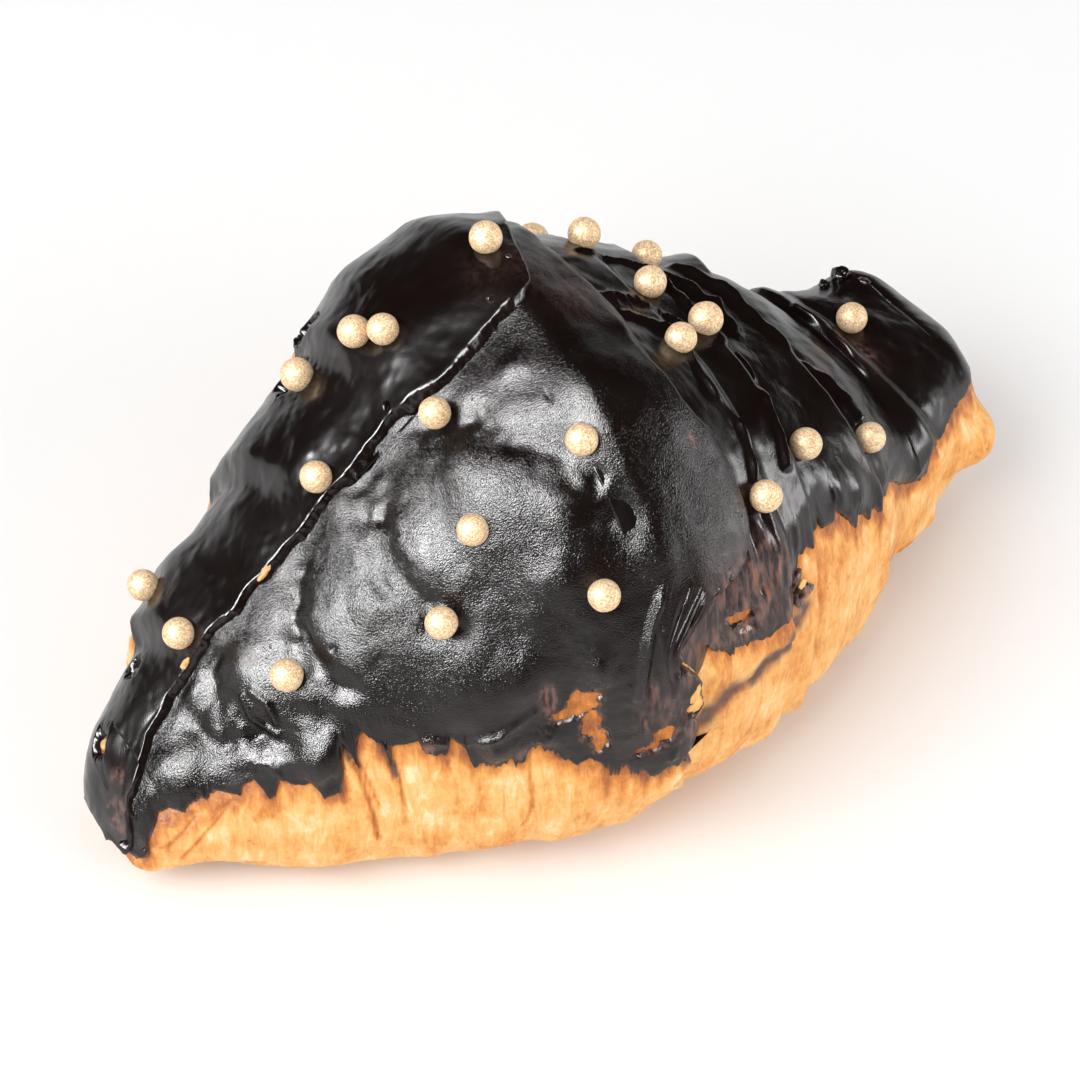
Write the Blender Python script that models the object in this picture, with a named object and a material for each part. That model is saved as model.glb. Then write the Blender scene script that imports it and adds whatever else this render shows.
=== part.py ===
"""A butter croissant dipped in dark chocolate and dotted with sugar pearls.

Metres, +Z up. The croissant lies along X with its left tip at -X, its front
faces -Y, and it rests on the flat of its base at Z = 0, centred on the origin.

Every point of the skin has two places: `along`, from -1 at the left tip over
0 at the middle to +1 at the right tip, and `turn`, the angle round the roll
in degrees, 0 at the front, 90 on the crest, 180 at the back, 270 underneath.
"""

import math
import random

import bmesh
import bpy
import numpy as np

# ---- The roll: size of the two arms ----------------------------------------
LEFT_REACH = 0.0761       # middle to left tip
RIGHT_REACH = 0.0833      # middle to right tip
HALF_DEPTH = 0.0438       # at the middle
HEIGHT = 0.0792           # at the middle
LEFT_BEND = 0.0004        # how far a tip bends away from the front
RIGHT_BEND = 0.0092
LEFT_END_DEPTH = 0.0080   # half depth where a tip is cut round
RIGHT_END_DEPTH = 0.0146
LEFT_END_HEIGHT = 0.0097
RIGHT_END_HEIGHT = 0.0203
TAPER = 1.33              # 1 is a straight cone, 2 a rounded spindle
LEFT_DEPTH_FALL = 1.01    # over 1 thins the arm sooner
RIGHT_DEPTH_FALL = 1.21
LEFT_HEIGHT_FALL = 1.06
RIGHT_HEIGHT_FALL = 1.26
LEFT_LIFT = 0.0061        # tips stand clear of the table
RIGHT_LIFT = 0.0112
LIFT_START = 0.35
LIFT_CURVE = 1.8
CAP = 0.10                # share of an arm that rounds off its tip
SECTION_POWER = 2.60      # 2 is an ellipse, more is squarer
WIDEST = 0.343            # height of the widest level, as a share of the height
BELLY = 1.15              # how far the underside would sag past the table
FOOT_CLEAR = 0.0015       # the layers start this high over the table
FOOT_RISE = 0.0090        # and are full this much higher

# ---- Waist and knob of the right tip ---------------------------------------
KNOB_PLACE, KNOB_WIDTH, KNOB_SWELL = 0.84, 0.10, 0.03
WAIST_PLACE, WAIST_WIDTH, WAIST_PINCH = 0.68, 0.06, 0.10
CORNER_PLACE, CORNER_WIDTH = 0.92, 0.045
CORNER_TURN, CORNER_SPREAD = 1.0, 13.0
CORNER_REACH = 0.0038     # the last flap ends in a bare corner

# ---- Rolled layers: each edge is a loop round the roll ---------------------
# crest: along at the top; front, back: shift of the edge at turn 0 and 180;
# front_step, back_step: drop of the edge there, in metres
LEFT_EDGES = (
    dict(crest=-0.735, front=0.04, back=-0.075, front_step=0.0009, back_step=0.0036),
    dict(crest=-0.452, front=0.12, back=-0.090, front_step=0.0011, back_step=0.0030),
    dict(crest=-0.250, front=0.12, back=-0.045, front_step=0.0009, back_step=0.0030),
)
RIGHT_EDGES = (
    dict(crest=0.150, front=-0.150, back=0.093, front_step=0.0024, back_step=0.0020),
    dict(crest=0.232, front=0.00, back=0.08, front_step=0.0012, back_step=0.0008),
    dict(crest=0.327, front=-0.020, back=0.150, front_step=0.0020, back_step=0.0022),
    dict(crest=0.488, front=0.080, back=0.145, front_step=0.0022, back_step=0.0022),
    dict(crest=0.730, front=0.070, back=0.030, front_step=0.0014, back_step=0.0024),
)
FRONT_SWEEP = 2.0         # power of the shift towards the front
BACK_SWEEP = 1.2
EDGE_WIDTH = 0.0014       # an edge falls from full height within this
SWELL_WIDTH = 0.0110      # the same under the smooth sheet in front of the seam
PUFF = 0.0100             # a layer swells towards its edge over this
GROOVE = 0.0035           # the hollow beyond an edge
GROOVE_DEPTH = 0.50       # share of the step
TIP_CALM = 0.09           # share of an arm where the layers die out at its tip

# ---- Unevenness of the dough: along, turn, widths of both, height ----------
SWELLS = (
    (-0.13, 138, 0.06, 25, 0.0016), (-0.65, 140, 0.045, 25, 0.0016),
    (0.53, 120, 0.08, 18, 0.0018), (0.74, 130, 0.04, 20, 0.0010),
    (0.90, 128, 0.05, 25, 0.0028), (-0.01, -25, 0.06, 18, -0.0026),
    (0.57, -12, 0.07, 18, -0.0017), (0.80, -8, 0.06, 18, -0.0024),
    (-0.84, -30, 0.050, 14, -0.0032), (-0.95, -38, 0.035, 22, 0.0028),
)

# ---- Seam along the crest: the back sheet laps over the front one ----------
SEAM_TURN = 90.0
SEAM_WIDTH = 2.4          # degrees
SEAM_STEP = 0.0013
SEAM_FADE = 70.0          # the sheet's swollen rim dies out over these degrees
SEAM_END = 0.02           # the back sheet stops here,
SEAM_END_LEAN = 0.10      # and this much further along,
SEAM_LEAN_TURN = 30.0     # so many degrees behind the crest
SEAM_END_WIDTH = 0.02

# ---- Chocolate -------------------------------------------------------------
GAP = 0.0005              # clearance between crust and coat
COAT = 0.0013             # thickness of the coat
COAT_POOL = 0.45          # share of each groove that the chocolate fills
TOOTH = 1.8               # ragged lower edge, in degrees
TOOTH_END = 0.96          # the tips have no teeth
FRONT_LINE = (            # along, turn of the lower edge on the front
    (-1.0, -20), (-0.965, -10), (-0.94, 26), (-0.89, 42), (-0.76, 31),
    (-0.69, 25), (-0.635, 15), (-0.58, 30), (-0.44, 20), (-0.39, 10),
    (-0.27, 7), (-0.12, 0), (-0.03, -2), (0.03, 14), (0.15, 11),
    (0.24, 18), (0.34, 31), (0.47, 25), (0.60, 27), (0.71, 16),
    (0.77, 26), (0.87, 31), (1.0, 34),
)
BACK_LINE = (             # the same on the back
    (-1.0, 190), (-0.90, 165), (-0.78, 140), (-0.62, 152), (-0.45, 150),
    (-0.30, 135), (-0.12, 150), (0.10, 160), (0.35, 152), (0.55, 158),
    (0.75, 150), (1.0, 150),
)

# ---- Sugar pearls ----------------------------------------------------------
PEARL = 0.0051            # diameter
PEARL_SIZES = 0.06        # spread of the diameters
PEARL_SINK = 0.20         # share of the diameter under the chocolate
PEARL_PLACES = (          # along, turn
    (0.003, 102.0), (-0.213, 107.0), (-0.181, 101.5), (-0.316, 119.0), (-0.206, 86.5),
    (-0.402, 92.5), (-0.698, 134.0), (-0.716, 97.0), (-0.618, 65.0), (-0.044, 65.5),
    (-0.258, 64.0), (-0.364, 51.0), (-0.110, 37.5), (0.264, 93.0), (0.205, 80.0),
    (0.297, 85.0), (0.245, 112.0), (0.398, 115.0), (0.200, 43.0), (0.358, 52.0),
    (0.765, 90.5), (0.542, 48.0),
)
BACK_PEARL_TRIES = 60     # more pearls behind the crest
BACK_PEARL_SPACE = 0.015
BACK_PEARL_ALONG = (0.10, 0.62)
BACK_PEARL_TURN = 143.0   # from here down to
BACK_PEARL_RIM = 8.0      # so many degrees over the lower edge

# ---- Mesh ------------------------------------------------------------------
RINGS_BETWEEN = (7, 4, 4, 7, 1, 2, 3, 3, 7)   # rings from edge to edge
ROWS_FRONT, ROWS_TOP, ROWS_BACK, ROWS_UNDER, ROWS_FOOT = 12, 1, 13, 6, 5
COAT_ROWS = ROWS_FRONT + ROWS_TOP + ROWS_BACK
ROWS = COAT_ROWS + 2 * ROWS_UNDER + ROWS_FOOT
UNDER_FRONT, UNDER_BACK = -38.0, 218.0        # where the underside starts
SETTLING_ROUNDS = 6       # rings and rows follow each other's curves
PEARL_SIDES, PEARL_BANDS = 8, 4
SEED = 7


def by_arm(along, left, right):
    """The left arm's value or the right arm's."""
    return np.where(along < 0, left, right)


def smooth(x):
    """Rises from 0 to 1 between 0 and 1."""
    x = np.clip(x, 0.0, 1.0)
    return x * x * (3.0 - 2.0 * x)


def hill(x, place, width):
    """A bell of height 1."""
    return np.exp(-((x - place) / width) ** 2)


def taper(along, middle, left_end, right_end, left_fall, right_fall):
    """Half depth or height of the roll, from its middle value down to the tips."""
    reach = np.abs(along)
    core = (1.0 - reach ** TAPER) ** by_arm(along, left_fall, right_fall)
    end = by_arm(along, left_end, right_end)
    size = end + (middle - end) * core
    swell = KNOB_SWELL * hill(along, KNOB_PLACE, KNOB_WIDTH)
    pinch = WAIST_PINCH * hill(along, WAIST_PLACE, WAIST_WIDTH)
    cap = np.sqrt(1.0 - np.clip((reach - 1.0 + CAP) / CAP, 0.0, 1.0) ** 2)
    return size * (1.0 + swell - pinch) * cap


def roll_height(along):
    """Height of the roll over its own underside."""
    return taper(along, HEIGHT, LEFT_END_HEIGHT, RIGHT_END_HEIGHT,
                 LEFT_HEIGHT_FALL, RIGHT_HEIGHT_FALL)


def roll_point(along, turn):
    """A point of the plain roll, without layers."""
    angle = np.radians(turn)
    depth = taper(along, HALF_DEPTH, LEFT_END_DEPTH, RIGHT_END_DEPTH,
                  LEFT_DEPTH_FALL, RIGHT_DEPTH_FALL)
    height = roll_height(along)
    reach = by_arm(along, LEFT_REACH, RIGHT_REACH)
    bend = by_arm(along, LEFT_BEND, RIGHT_BEND)
    slope = 2.0 * bend * along / reach
    across = 1.0 / np.sqrt(1.0 + slope ** 2)

    power = 2.0 / SECTION_POWER
    forward = np.sign(np.cos(angle)) * np.abs(np.cos(angle)) ** power * depth
    rise = np.sign(np.sin(angle)) * np.abs(np.sin(angle)) ** power
    level = WIDEST * height
    upper = level + (height - level) * rise
    lower = np.maximum(level * (1.0 + BELLY * rise), 0.0)

    lifted = np.clip((np.abs(along) - LIFT_START) / (1.0 - LIFT_START), 0.0, 1.0)
    lift = by_arm(along, LEFT_LIFT, RIGHT_LIFT) * lifted ** LIFT_CURVE
    lift = lift + WIDEST * (roll_height(np.clip(along, CAP - 1.0, 1.0 - CAP)) - height)
    x = reach * along + slope * across * forward
    y = bend * along ** 2 - across * forward
    z = np.where(rise > 0, upper, lower) + lift
    return np.stack([x, y, z], axis=-1)


def roll_normal(along, turn):
    """Outward direction of the plain roll."""
    step = 1e-3
    inner = np.clip(along, -1.0 + 2 * step, 1.0 - 2 * step)
    along_way = roll_point(inner + step, turn) - roll_point(inner - step, turn)
    turn_way = roll_point(inner, turn + 0.5) - roll_point(inner, turn - 0.5)
    normal = np.cross(along_way, turn_way)
    return normal / np.maximum(np.linalg.norm(normal, axis=-1, keepdims=True), 1e-12)


def edge_place(edge, turn):
    """Where a layer's edge lies, for each turn round the roll."""
    wrapped = (np.asarray(turn, float) + 90.0) % 360.0 - 90.0
    front = np.clip((90.0 - wrapped) / 90.0, 0.0, 1.0)
    back = np.clip((wrapped - 90.0) / 90.0, 0.0, 1.0)
    under = 0.5 - 0.5 * np.cos(np.radians(2.0 * (wrapped - 90.0)))
    settle = np.where(np.abs(wrapped - 90.0) > 90.0, under, 1.0)
    shift = edge["front"] * front ** FRONT_SWEEP + edge["back"] * back ** BACK_SWEEP
    return edge["crest"] + shift * settle


def edge_step(edge, turn):
    """Drop of a layer's edge, for each turn round the roll."""
    share = 0.5 - 0.5 * np.cos(np.radians(turn))
    return edge["front_step"] * (1.0 - share) + edge["back_step"] * share


def layer_profile(distance, width, fill):
    """Height of a layer against the distance past its edge, for a step of 1."""
    fallen = smooth(distance / width + 0.5)
    swell = np.exp(np.minimum(distance, 0.0) / PUFF)
    hollow = GROOVE_DEPTH * (1.0 - fill) * np.exp(-np.maximum(distance, 0.0) / GROOVE)
    return swell * (1.0 - fallen) - hollow * fallen


def behind_seam(turn):
    """0 in front of the seam on the crest, 1 behind it."""
    wrapped = (turn + 90.0) % 360.0 - 90.0
    return smooth((wrapped - SEAM_TURN) / SEAM_WIDTH + 0.5)


def back_sheet(along, turn):
    """1 along the rim of the back sheet, fading down the back, 0 on the front."""
    wrapped = (turn + 90.0) % 360.0 - 90.0
    lean = np.clip((wrapped - SEAM_TURN) / SEAM_LEAN_TURN, 0.0, 1.0)
    end = SEAM_END + SEAM_END_LEAN * lean
    before_end = smooth((end - along) / SEAM_END_WIDTH + 0.5)
    fade = 1.0 - smooth((wrapped - SEAM_TURN) / SEAM_FADE)
    return behind_seam(turn) * before_end * fade


def relief(along, turn, fill=0.0):
    """Height of the layers over the plain roll; `fill` levels out the grooves."""
    total = SEAM_STEP * back_sheet(along, turn)
    crisp = behind_seam(turn)
    for edge in LEFT_EDGES:
        distance = (edge_place(edge, turn) - along) * LEFT_REACH
        sharp = layer_profile(distance, EDGE_WIDTH, fill)
        soft = layer_profile(distance, SWELL_WIDTH, 0.0)
        total = total + edge_step(edge, turn) * (sharp * crisp + soft * (1.0 - crisp))
    for edge in RIGHT_EDGES:
        distance = (along - edge_place(edge, turn)) * RIGHT_REACH
        total = total + edge_step(edge, turn) * layer_profile(distance, EDGE_WIDTH, fill)
    wrapped = (turn + 180.0) % 360.0 - 180.0
    corner = hill(along, CORNER_PLACE, CORNER_WIDTH) * hill(wrapped, CORNER_TURN, CORNER_SPREAD)
    near_tip = smooth((1.0 - np.abs(along)) / TIP_CALM)
    return (total + CORNER_REACH * corner) * near_tip


def swelling(along, turn):
    """Height of the dough's single swells and dents."""
    total = np.zeros_like(along)
    for place, centre, length, spread, height in SWELLS:
        aside = (turn - centre + 180.0) % 360.0 - 180.0
        total = total + height * hill(along, place, length) * hill(aside, 0.0, spread)
    return total


def skin_point(along, turn, height, fill=0.0):
    """A point `height` over the layered skin; the layers die out on the base."""
    base = roll_point(along, turn)
    normal = roll_normal(along, turn)
    clear = smooth((base[..., 2] - FOOT_CLEAR) / FOOT_RISE)
    rise = relief(along, turn, fill) * clear + swelling(along, turn) + height
    point = base + normal * rise[..., None]
    point[..., 2] = np.maximum(point[..., 2], 0.0)
    return point


def line_turn(line, along):
    """Turn of a chocolate edge at each place along the roll."""
    places, turns = zip(*line)
    return np.interp(along, places, turns)


def edge_stops(turn):
    """The tips and both sides of every layer edge, from left to right."""
    half = EDGE_WIDTH / 2.0
    stops = [np.full_like(turn, -1.0)]
    for edge in LEFT_EDGES:
        place = edge_place(edge, turn)
        stops += [place - half / LEFT_REACH, place + half / LEFT_REACH]
    for edge in RIGHT_EDGES:
        place = edge_place(edge, turn)
        stops += [place - half / RIGHT_REACH, place + half / RIGHT_REACH]
    stops.append(np.full_like(turn, 1.0))
    return stops


def ring_shares():
    """For each ring, which stop it follows and how far it is to the next one."""
    shares = [(0, 0.0)]
    last = len(RINGS_BETWEEN) - 1
    for number, rings in enumerate(RINGS_BETWEEN):
        for ring in range(1, rings + 1):
            share = ring / (rings + 1)
            if number == 0:
                share = 1.0 - math.cos(share * math.pi / 2)
            if number == last:
                share = math.sin(share * math.pi / 2)
            shares.append((2 * number, share))
        shares.append((2 * number + 1, 0.0))
        if number < last:
            shares.append((2 * number + 2, 0.0))
    return shares


def row_shares():
    """For each row, which turn stop it follows and how far it is to the next one."""
    counts = (ROWS_FRONT, ROWS_TOP, ROWS_BACK, ROWS_UNDER, ROWS_FOOT, ROWS_UNDER)
    return [(stop, step / count) for stop, count in enumerate(counts) for step in range(count)]


def turn_stops(along, tooth):
    """Turns that rows are laid along: both chocolate edges, the seam, the foot."""
    front = line_turn(FRONT_LINE, along) + tooth
    back = line_turn(BACK_LINE, along) - tooth
    half = SEAM_WIDTH / 2.0
    fixed = [SEAM_TURN - half, SEAM_TURN + half, UNDER_BACK, UNDER_FRONT + 360.0]
    before, after, under_back, under_front = (np.full_like(front, turn) for turn in fixed)
    return [front, before, after, back, under_back, under_front, front + 360.0]


def between(stops, stop, share):
    """The values a share of the way from one stop to the next."""
    following = stops[min(stop + 1, len(stops) - 1)]
    return stops[stop] * (1.0 - share) + following * share


def skin_grid():
    """Along and turn of every mesh point, as rings by rows."""
    draw = random.Random(SEED)
    rings, rows = ring_shares(), row_shares()
    turn = np.full((len(rings), len(rows)), SEAM_TURN)
    teeth = np.array([draw.uniform(-TOOTH, TOOTH) for _ in rings])
    for _ in range(SETTLING_ROUNDS):
        stops = edge_stops(turn)
        along = np.stack([between(stops, *ring)[number] for number, ring in enumerate(rings)])
        tooth = teeth[:, None] * (np.abs(along) < TOOTH_END)
        stops = turn_stops(along, tooth)
        turn = np.stack([between(stops, *row)[:, number] for number, row in enumerate(rows)],
                        axis=1)
    return along, turn


def sphere_mesh(rings):
    """A sphere whose points know their ring and row, poles at the two tips."""
    shape = bmesh.new()
    bmesh.ops.create_uvsphere(shape, u_segments=ROWS, v_segments=rings - 1, radius=1.0)
    places = {}
    for point in shape.verts:
        ring = round(math.acos(max(-1.0, min(1.0, point.co.z))) / math.pi * (rings - 1))
        row = round(math.atan2(point.co.y, point.co.x) / math.tau * ROWS) % ROWS
        places[point] = (rings - 1 - ring, row)
    bmesh.ops.triangulate(shape, faces=shape.faces[:], quad_method="FIXED")
    return shape, places


def set_skin(places, points):
    """Moves the sphere's points onto the skin; a tip is its ring's middle."""
    tips = {0, len(points) - 1}
    for point, (ring, row) in places.items():
        point.co = points[ring].mean(axis=0) if ring in tips else points[ring, row]


def finish_object(name, shape, collection, material):
    """Makes a closed shape an object of the collection."""
    bmesh.ops.recalc_face_normals(shape, faces=shape.faces[:])
    if shape.calc_volume(signed=True) < 0.0:
        bmesh.ops.reverse_faces(shape, faces=shape.faces[:])
    mesh = bpy.data.meshes.new(name)
    shape.to_mesh(mesh)
    shape.free()
    mesh.shade_smooth()
    mesh.materials.append(material)
    made = bpy.data.objects.new(name, mesh)
    collection.objects.link(made)
    return made


def plain_material(name, colour, roughness, metallic=0.0):
    """A Principled material of one colour."""
    material = bpy.data.materials.new(name)
    material.use_nodes = True
    shader = material.node_tree.nodes["Principled BSDF"]
    shader.inputs["Base Color"].default_value = (*colour, 1.0)
    shader.inputs["Roughness"].default_value = roughness
    shader.inputs["Metallic"].default_value = metallic
    return material


def make_croissant(collection, along, turn):
    """The baked roll, one solid."""
    shape, places = sphere_mesh(len(along))
    set_skin(places, skin_point(along, turn, np.zeros_like(along)))
    crust = plain_material("golden_crust", (0.80, 0.42, 0.15), 0.6)
    return finish_object("croissant", shape, collection, crust)


def match_points(originals, raised, places):
    """The extruded points, each with the ring and row of the point it came from."""
    at = {tuple(point.co): places[point] for point in originals}
    return {item: at[tuple(item.co)] for item in raised if isinstance(item, bmesh.types.BMVert)}


def make_coat(collection, along, turn):
    """The chocolate: the crust's upper skin, lifted by the gap and given a thickness."""
    shape, places = sphere_mesh(len(along))
    set_skin(places, skin_point(along, turn, np.zeros_like(along)))
    tips = {0, len(along) - 1}

    def covered(face):
        rings, rows = zip(*(places[point] for point in face.verts))
        if tips.intersection(rings):
            return False
        if max(rows) - min(rows) > ROWS // 2:
            rows = [row + ROWS if row == 0 else row for row in rows]
        return max(rows) <= COAT_ROWS

    if shape.calc_volume(signed=True) < 0.0:
        bmesh.ops.reverse_faces(shape, faces=shape.faces[:])
    shape.normal_update()
    lifted = {point: point.co + point.normal * GAP for point in shape.verts}
    for point, place in lifted.items():
        point.co = place
    bare = [face for face in shape.faces if not covered(face)]
    bmesh.ops.delete(shape, geom=bare, context="FACES")
    inner_wall = list(shape.verts)
    shell = bmesh.ops.extrude_face_region(shape, geom=shape.faces[:])
    outer_height = np.full_like(along, GAP + COAT)
    outer_wall = match_points(inner_wall, shell["geom"], places)
    set_skin(outer_wall, skin_point(along, turn, outer_height, COAT_POOL))
    chocolate = plain_material("dark_chocolate", (0.012, 0.006, 0.004), 0.25)
    return finish_object("chocolate_coat", shape, collection, chocolate)


def pearl_seats():
    """Where the pearls lie: those of the front by hand, those of the back by a rule."""
    draw = random.Random(SEED)
    seats = list(PEARL_PLACES)
    taken = [roll_point(np.array(along), np.array(turn)) for along, turn in seats]
    for _ in range(BACK_PEARL_TRIES):
        along = draw.uniform(*BACK_PEARL_ALONG)
        lowest = float(line_turn(BACK_LINE, along)) - BACK_PEARL_RIM
        turn = draw.uniform(BACK_PEARL_TURN, lowest)
        here = roll_point(np.array(along), np.array(turn))
        clear = min(np.linalg.norm(here - other) for other in taken)
        if clear > BACK_PEARL_SPACE:
            seats.append((along, turn))
            taken.append(here)
    sizes = [PEARL * (1.0 + draw.uniform(-1.0, 1.0) * PEARL_SIZES) for _ in seats]
    return seats, sizes


def make_pearls(collection):
    """Small balls, each sunk a little into the coat."""
    seats, sizes = pearl_seats()
    sugar = plain_material("sugar_pearl", (0.75, 0.58, 0.38), 0.35, 0.6)
    for number, ((along, turn), size) in enumerate(zip(seats, sizes)):
        stand = GAP + COAT + size * (0.5 - PEARL_SINK)
        seat = np.array([along]), np.array([turn]), np.array([stand])
        centre = skin_point(*seat, COAT_POOL)[0]
        ball = bmesh.new()
        bmesh.ops.create_uvsphere(ball, u_segments=PEARL_SIDES, v_segments=PEARL_BANDS,
                                  radius=size / 2.0)
        bmesh.ops.translate(ball, verts=ball.verts[:], vec=centre)
        finish_object(f"pearl_{number}", ball, collection, sugar)


def fuse(target, pearls):
    """Joins every pearl of the collection to the coat, then drops the loose ones."""
    union = target.modifiers.new("fuse_pearls", "BOOLEAN")
    union.operation = "UNION"
    union.operand_type = "COLLECTION"
    union.collection = pearls
    union.solver = "EXACT"
    bpy.context.view_layer.update()
    seen = target.evaluated_get(bpy.context.evaluated_depsgraph_get())
    fused = bpy.data.meshes.new_from_object(seen)
    target.modifiers.clear()
    old = target.data
    target.data = fused
    fused.name = target.name
    bpy.data.meshes.remove(old)
    for pearl in list(pearls.objects):
        bpy.data.objects.remove(pearl)
    bpy.data.collections.remove(pearls)


def centre_over_origin(objects):
    """Moves all pieces so that their common box stands centred on the origin."""
    corners = np.array([tuple(point.co) for made in objects for point in made.data.vertices])
    low, high = corners.min(axis=0), corners.max(axis=0)
    shift = (low + high) / 2.0
    for made in objects:
        for point in made.data.vertices:
            point.co.x -= shift[0]
            point.co.y -= shift[1]


def main():
    for old in list(bpy.data.objects):
        bpy.data.objects.remove(old)
    pastry = bpy.data.collections.new("chocolate_croissant")
    pearls = bpy.data.collections.new("pearls_to_fuse")
    for collection in (pastry, pearls):
        bpy.context.scene.collection.children.link(collection)
    along, turn = skin_grid()
    croissant = make_croissant(pastry, along, turn)
    coat = make_coat(pastry, along, turn)
    make_pearls(pearls)
    fuse(coat, pearls)
    centre_over_origin([croissant, coat])


if __name__ == "__main__":
    main()
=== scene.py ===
"""Looks of a chocolate croissant: baked crust, chocolate sheets, sugar pearls, crumbs.

Metres, +Z up, in the frame of the CAD part. A point of the roll's skin has two
places: `along`, from -1 at the left tip to +1 at the right tip, and `turn`, the
angle round the roll in degrees, 0 at the front, 90 on the crest, 180 behind.
"""

import math
import random

import bmesh
import bpy
import numpy as np
from mathutils import Matrix, Vector


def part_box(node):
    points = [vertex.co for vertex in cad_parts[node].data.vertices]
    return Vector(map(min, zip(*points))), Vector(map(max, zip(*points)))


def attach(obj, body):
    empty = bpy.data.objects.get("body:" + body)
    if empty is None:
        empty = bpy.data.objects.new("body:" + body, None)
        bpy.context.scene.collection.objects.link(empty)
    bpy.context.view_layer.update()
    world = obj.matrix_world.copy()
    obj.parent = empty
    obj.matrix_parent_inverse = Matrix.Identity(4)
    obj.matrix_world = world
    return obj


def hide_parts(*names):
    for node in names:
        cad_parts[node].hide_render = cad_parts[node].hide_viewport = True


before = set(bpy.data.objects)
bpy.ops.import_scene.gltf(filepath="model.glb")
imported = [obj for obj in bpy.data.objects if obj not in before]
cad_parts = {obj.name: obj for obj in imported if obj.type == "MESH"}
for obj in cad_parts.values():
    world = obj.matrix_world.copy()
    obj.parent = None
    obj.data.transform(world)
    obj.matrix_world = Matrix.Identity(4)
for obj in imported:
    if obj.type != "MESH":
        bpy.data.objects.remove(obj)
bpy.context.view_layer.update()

MM = 0.001

# ---- The roll, as the CAD part has it --------------------------------------
LEFT_REACH, RIGHT_REACH = 0.0761, 0.0833
HALF_DEPTH, HEIGHT = 0.0438, 0.0792
LEFT_BEND, RIGHT_BEND = 0.0004, 0.0092
LEFT_END_DEPTH, RIGHT_END_DEPTH = 0.0080, 0.0146
LEFT_END_HEIGHT, RIGHT_END_HEIGHT = 0.0097, 0.0203
TAPER = 1.33
LEFT_DEPTH_FALL, RIGHT_DEPTH_FALL = 1.01, 1.21
LEFT_HEIGHT_FALL, RIGHT_HEIGHT_FALL = 1.06, 1.26
LEFT_LIFT, RIGHT_LIFT, LIFT_START, LIFT_CURVE = 0.0061, 0.0112, 0.35, 1.8
CAP = 0.10
SECTION_POWER, WIDEST, BELLY = 2.60, 0.343, 1.15
FOOT_CLEAR, FOOT_RISE = 0.0015, 0.0090
KNOB_PLACE, KNOB_WIDTH, KNOB_SWELL = 0.84, 0.10, 0.03
WAIST_PLACE, WAIST_WIDTH, WAIST_PINCH = 0.68, 0.06, 0.10
CORNER_PLACE, CORNER_WIDTH = 0.92, 0.045
CORNER_TURN, CORNER_SPREAD, CORNER_REACH = 1.0, 13.0, 0.0038
LEFT_EDGES = (
    dict(crest=-0.735, front=0.04, back=-0.075, front_step=0.0009, back_step=0.0036),
    dict(crest=-0.452, front=0.12, back=-0.090, front_step=0.0011, back_step=0.0030),
    dict(crest=-0.250, front=0.12, back=-0.045, front_step=0.0009, back_step=0.0030),
)
RIGHT_EDGES = (
    dict(crest=0.150, front=-0.150, back=0.093, front_step=0.0024, back_step=0.0020),
    dict(crest=0.232, front=0.00, back=0.08, front_step=0.0012, back_step=0.0008),
    dict(crest=0.327, front=-0.020, back=0.150, front_step=0.0020, back_step=0.0022),
    dict(crest=0.488, front=0.080, back=0.145, front_step=0.0022, back_step=0.0022),
    dict(crest=0.730, front=0.070, back=0.030, front_step=0.0014, back_step=0.0024),
)
FRONT_SWEEP, BACK_SWEEP = 2.0, 1.2
EDGE_WIDTH, SWELL_WIDTH, PUFF = 0.0014, 0.0110, 0.0100
GROOVE, GROOVE_DEPTH = 0.0035, 0.50
TIP_CALM = 0.09
SWELLS = (                # along, turn, widths of both, height
    (-0.13, 138, 0.06, 25, 0.0016), (-0.65, 140, 0.045, 25, 0.0016),
    (0.53, 120, 0.08, 18, 0.0018), (0.74, 130, 0.04, 20, 0.001), (0.9, 128, 0.05, 25, 0.0028),
    (-0.01, -25, 0.06, 18, -0.0026), (0.57, -12, 0.07, 18, -0.0017),
    (0.8, -8, 0.06, 18, -0.0024), (-0.84, -30, 0.05, 14, -0.0032),
    (-0.95, -38, 0.035, 22, 0.0028),
)
SEAM_TURN, SEAM_WIDTH, SEAM_STEP, SEAM_FADE = 90.0, 2.4, 0.0013, 70.0
SEAM_END, SEAM_END_LEAN, SEAM_LEAN_TURN, SEAM_END_WIDTH = 0.02, 0.10, 30.0, 0.02
GAP, COAT, COAT_POOL = 0.0005, 0.0013, 0.45
BACK_LINE = (             # along, turn: lower edge of the chocolate behind
    (-1, 190), (-0.9, 165), (-0.78, 140), (-0.62, 152), (-0.45, 150), (-0.3, 135), (-0.12, 150),
    (0.1, 160), (0.35, 152), (0.55, 158), (0.75, 150), (1, 150),
)
PEARL, PEARL_SIZES, PEARL_SINK = 0.0051, 0.06, 0.20
PEARL_PLACES = (
    (0.003, 102), (-0.213, 107), (-0.181, 101.5), (-0.316, 119), (-0.206, 86.5), (-0.402, 92.5),
    (-0.698, 134), (-0.716, 97), (-0.618, 65), (-0.044, 65.5), (-0.258, 64), (-0.364, 51),
    (-0.11, 37.5), (0.264, 93), (0.205, 80), (0.297, 85), (0.245, 112), (0.398, 115), (0.2, 43),
    (0.358, 52), (0.765, 90.5), (0.542, 48),
)
BACK_PEARL_TRIES, BACK_PEARL_SPACE = 60, 0.015
BACK_PEARL_ALONG, BACK_PEARL_TURN, BACK_PEARL_RIM = (0.10, 0.62), 143.0, 8.0
SEED = 7

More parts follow.
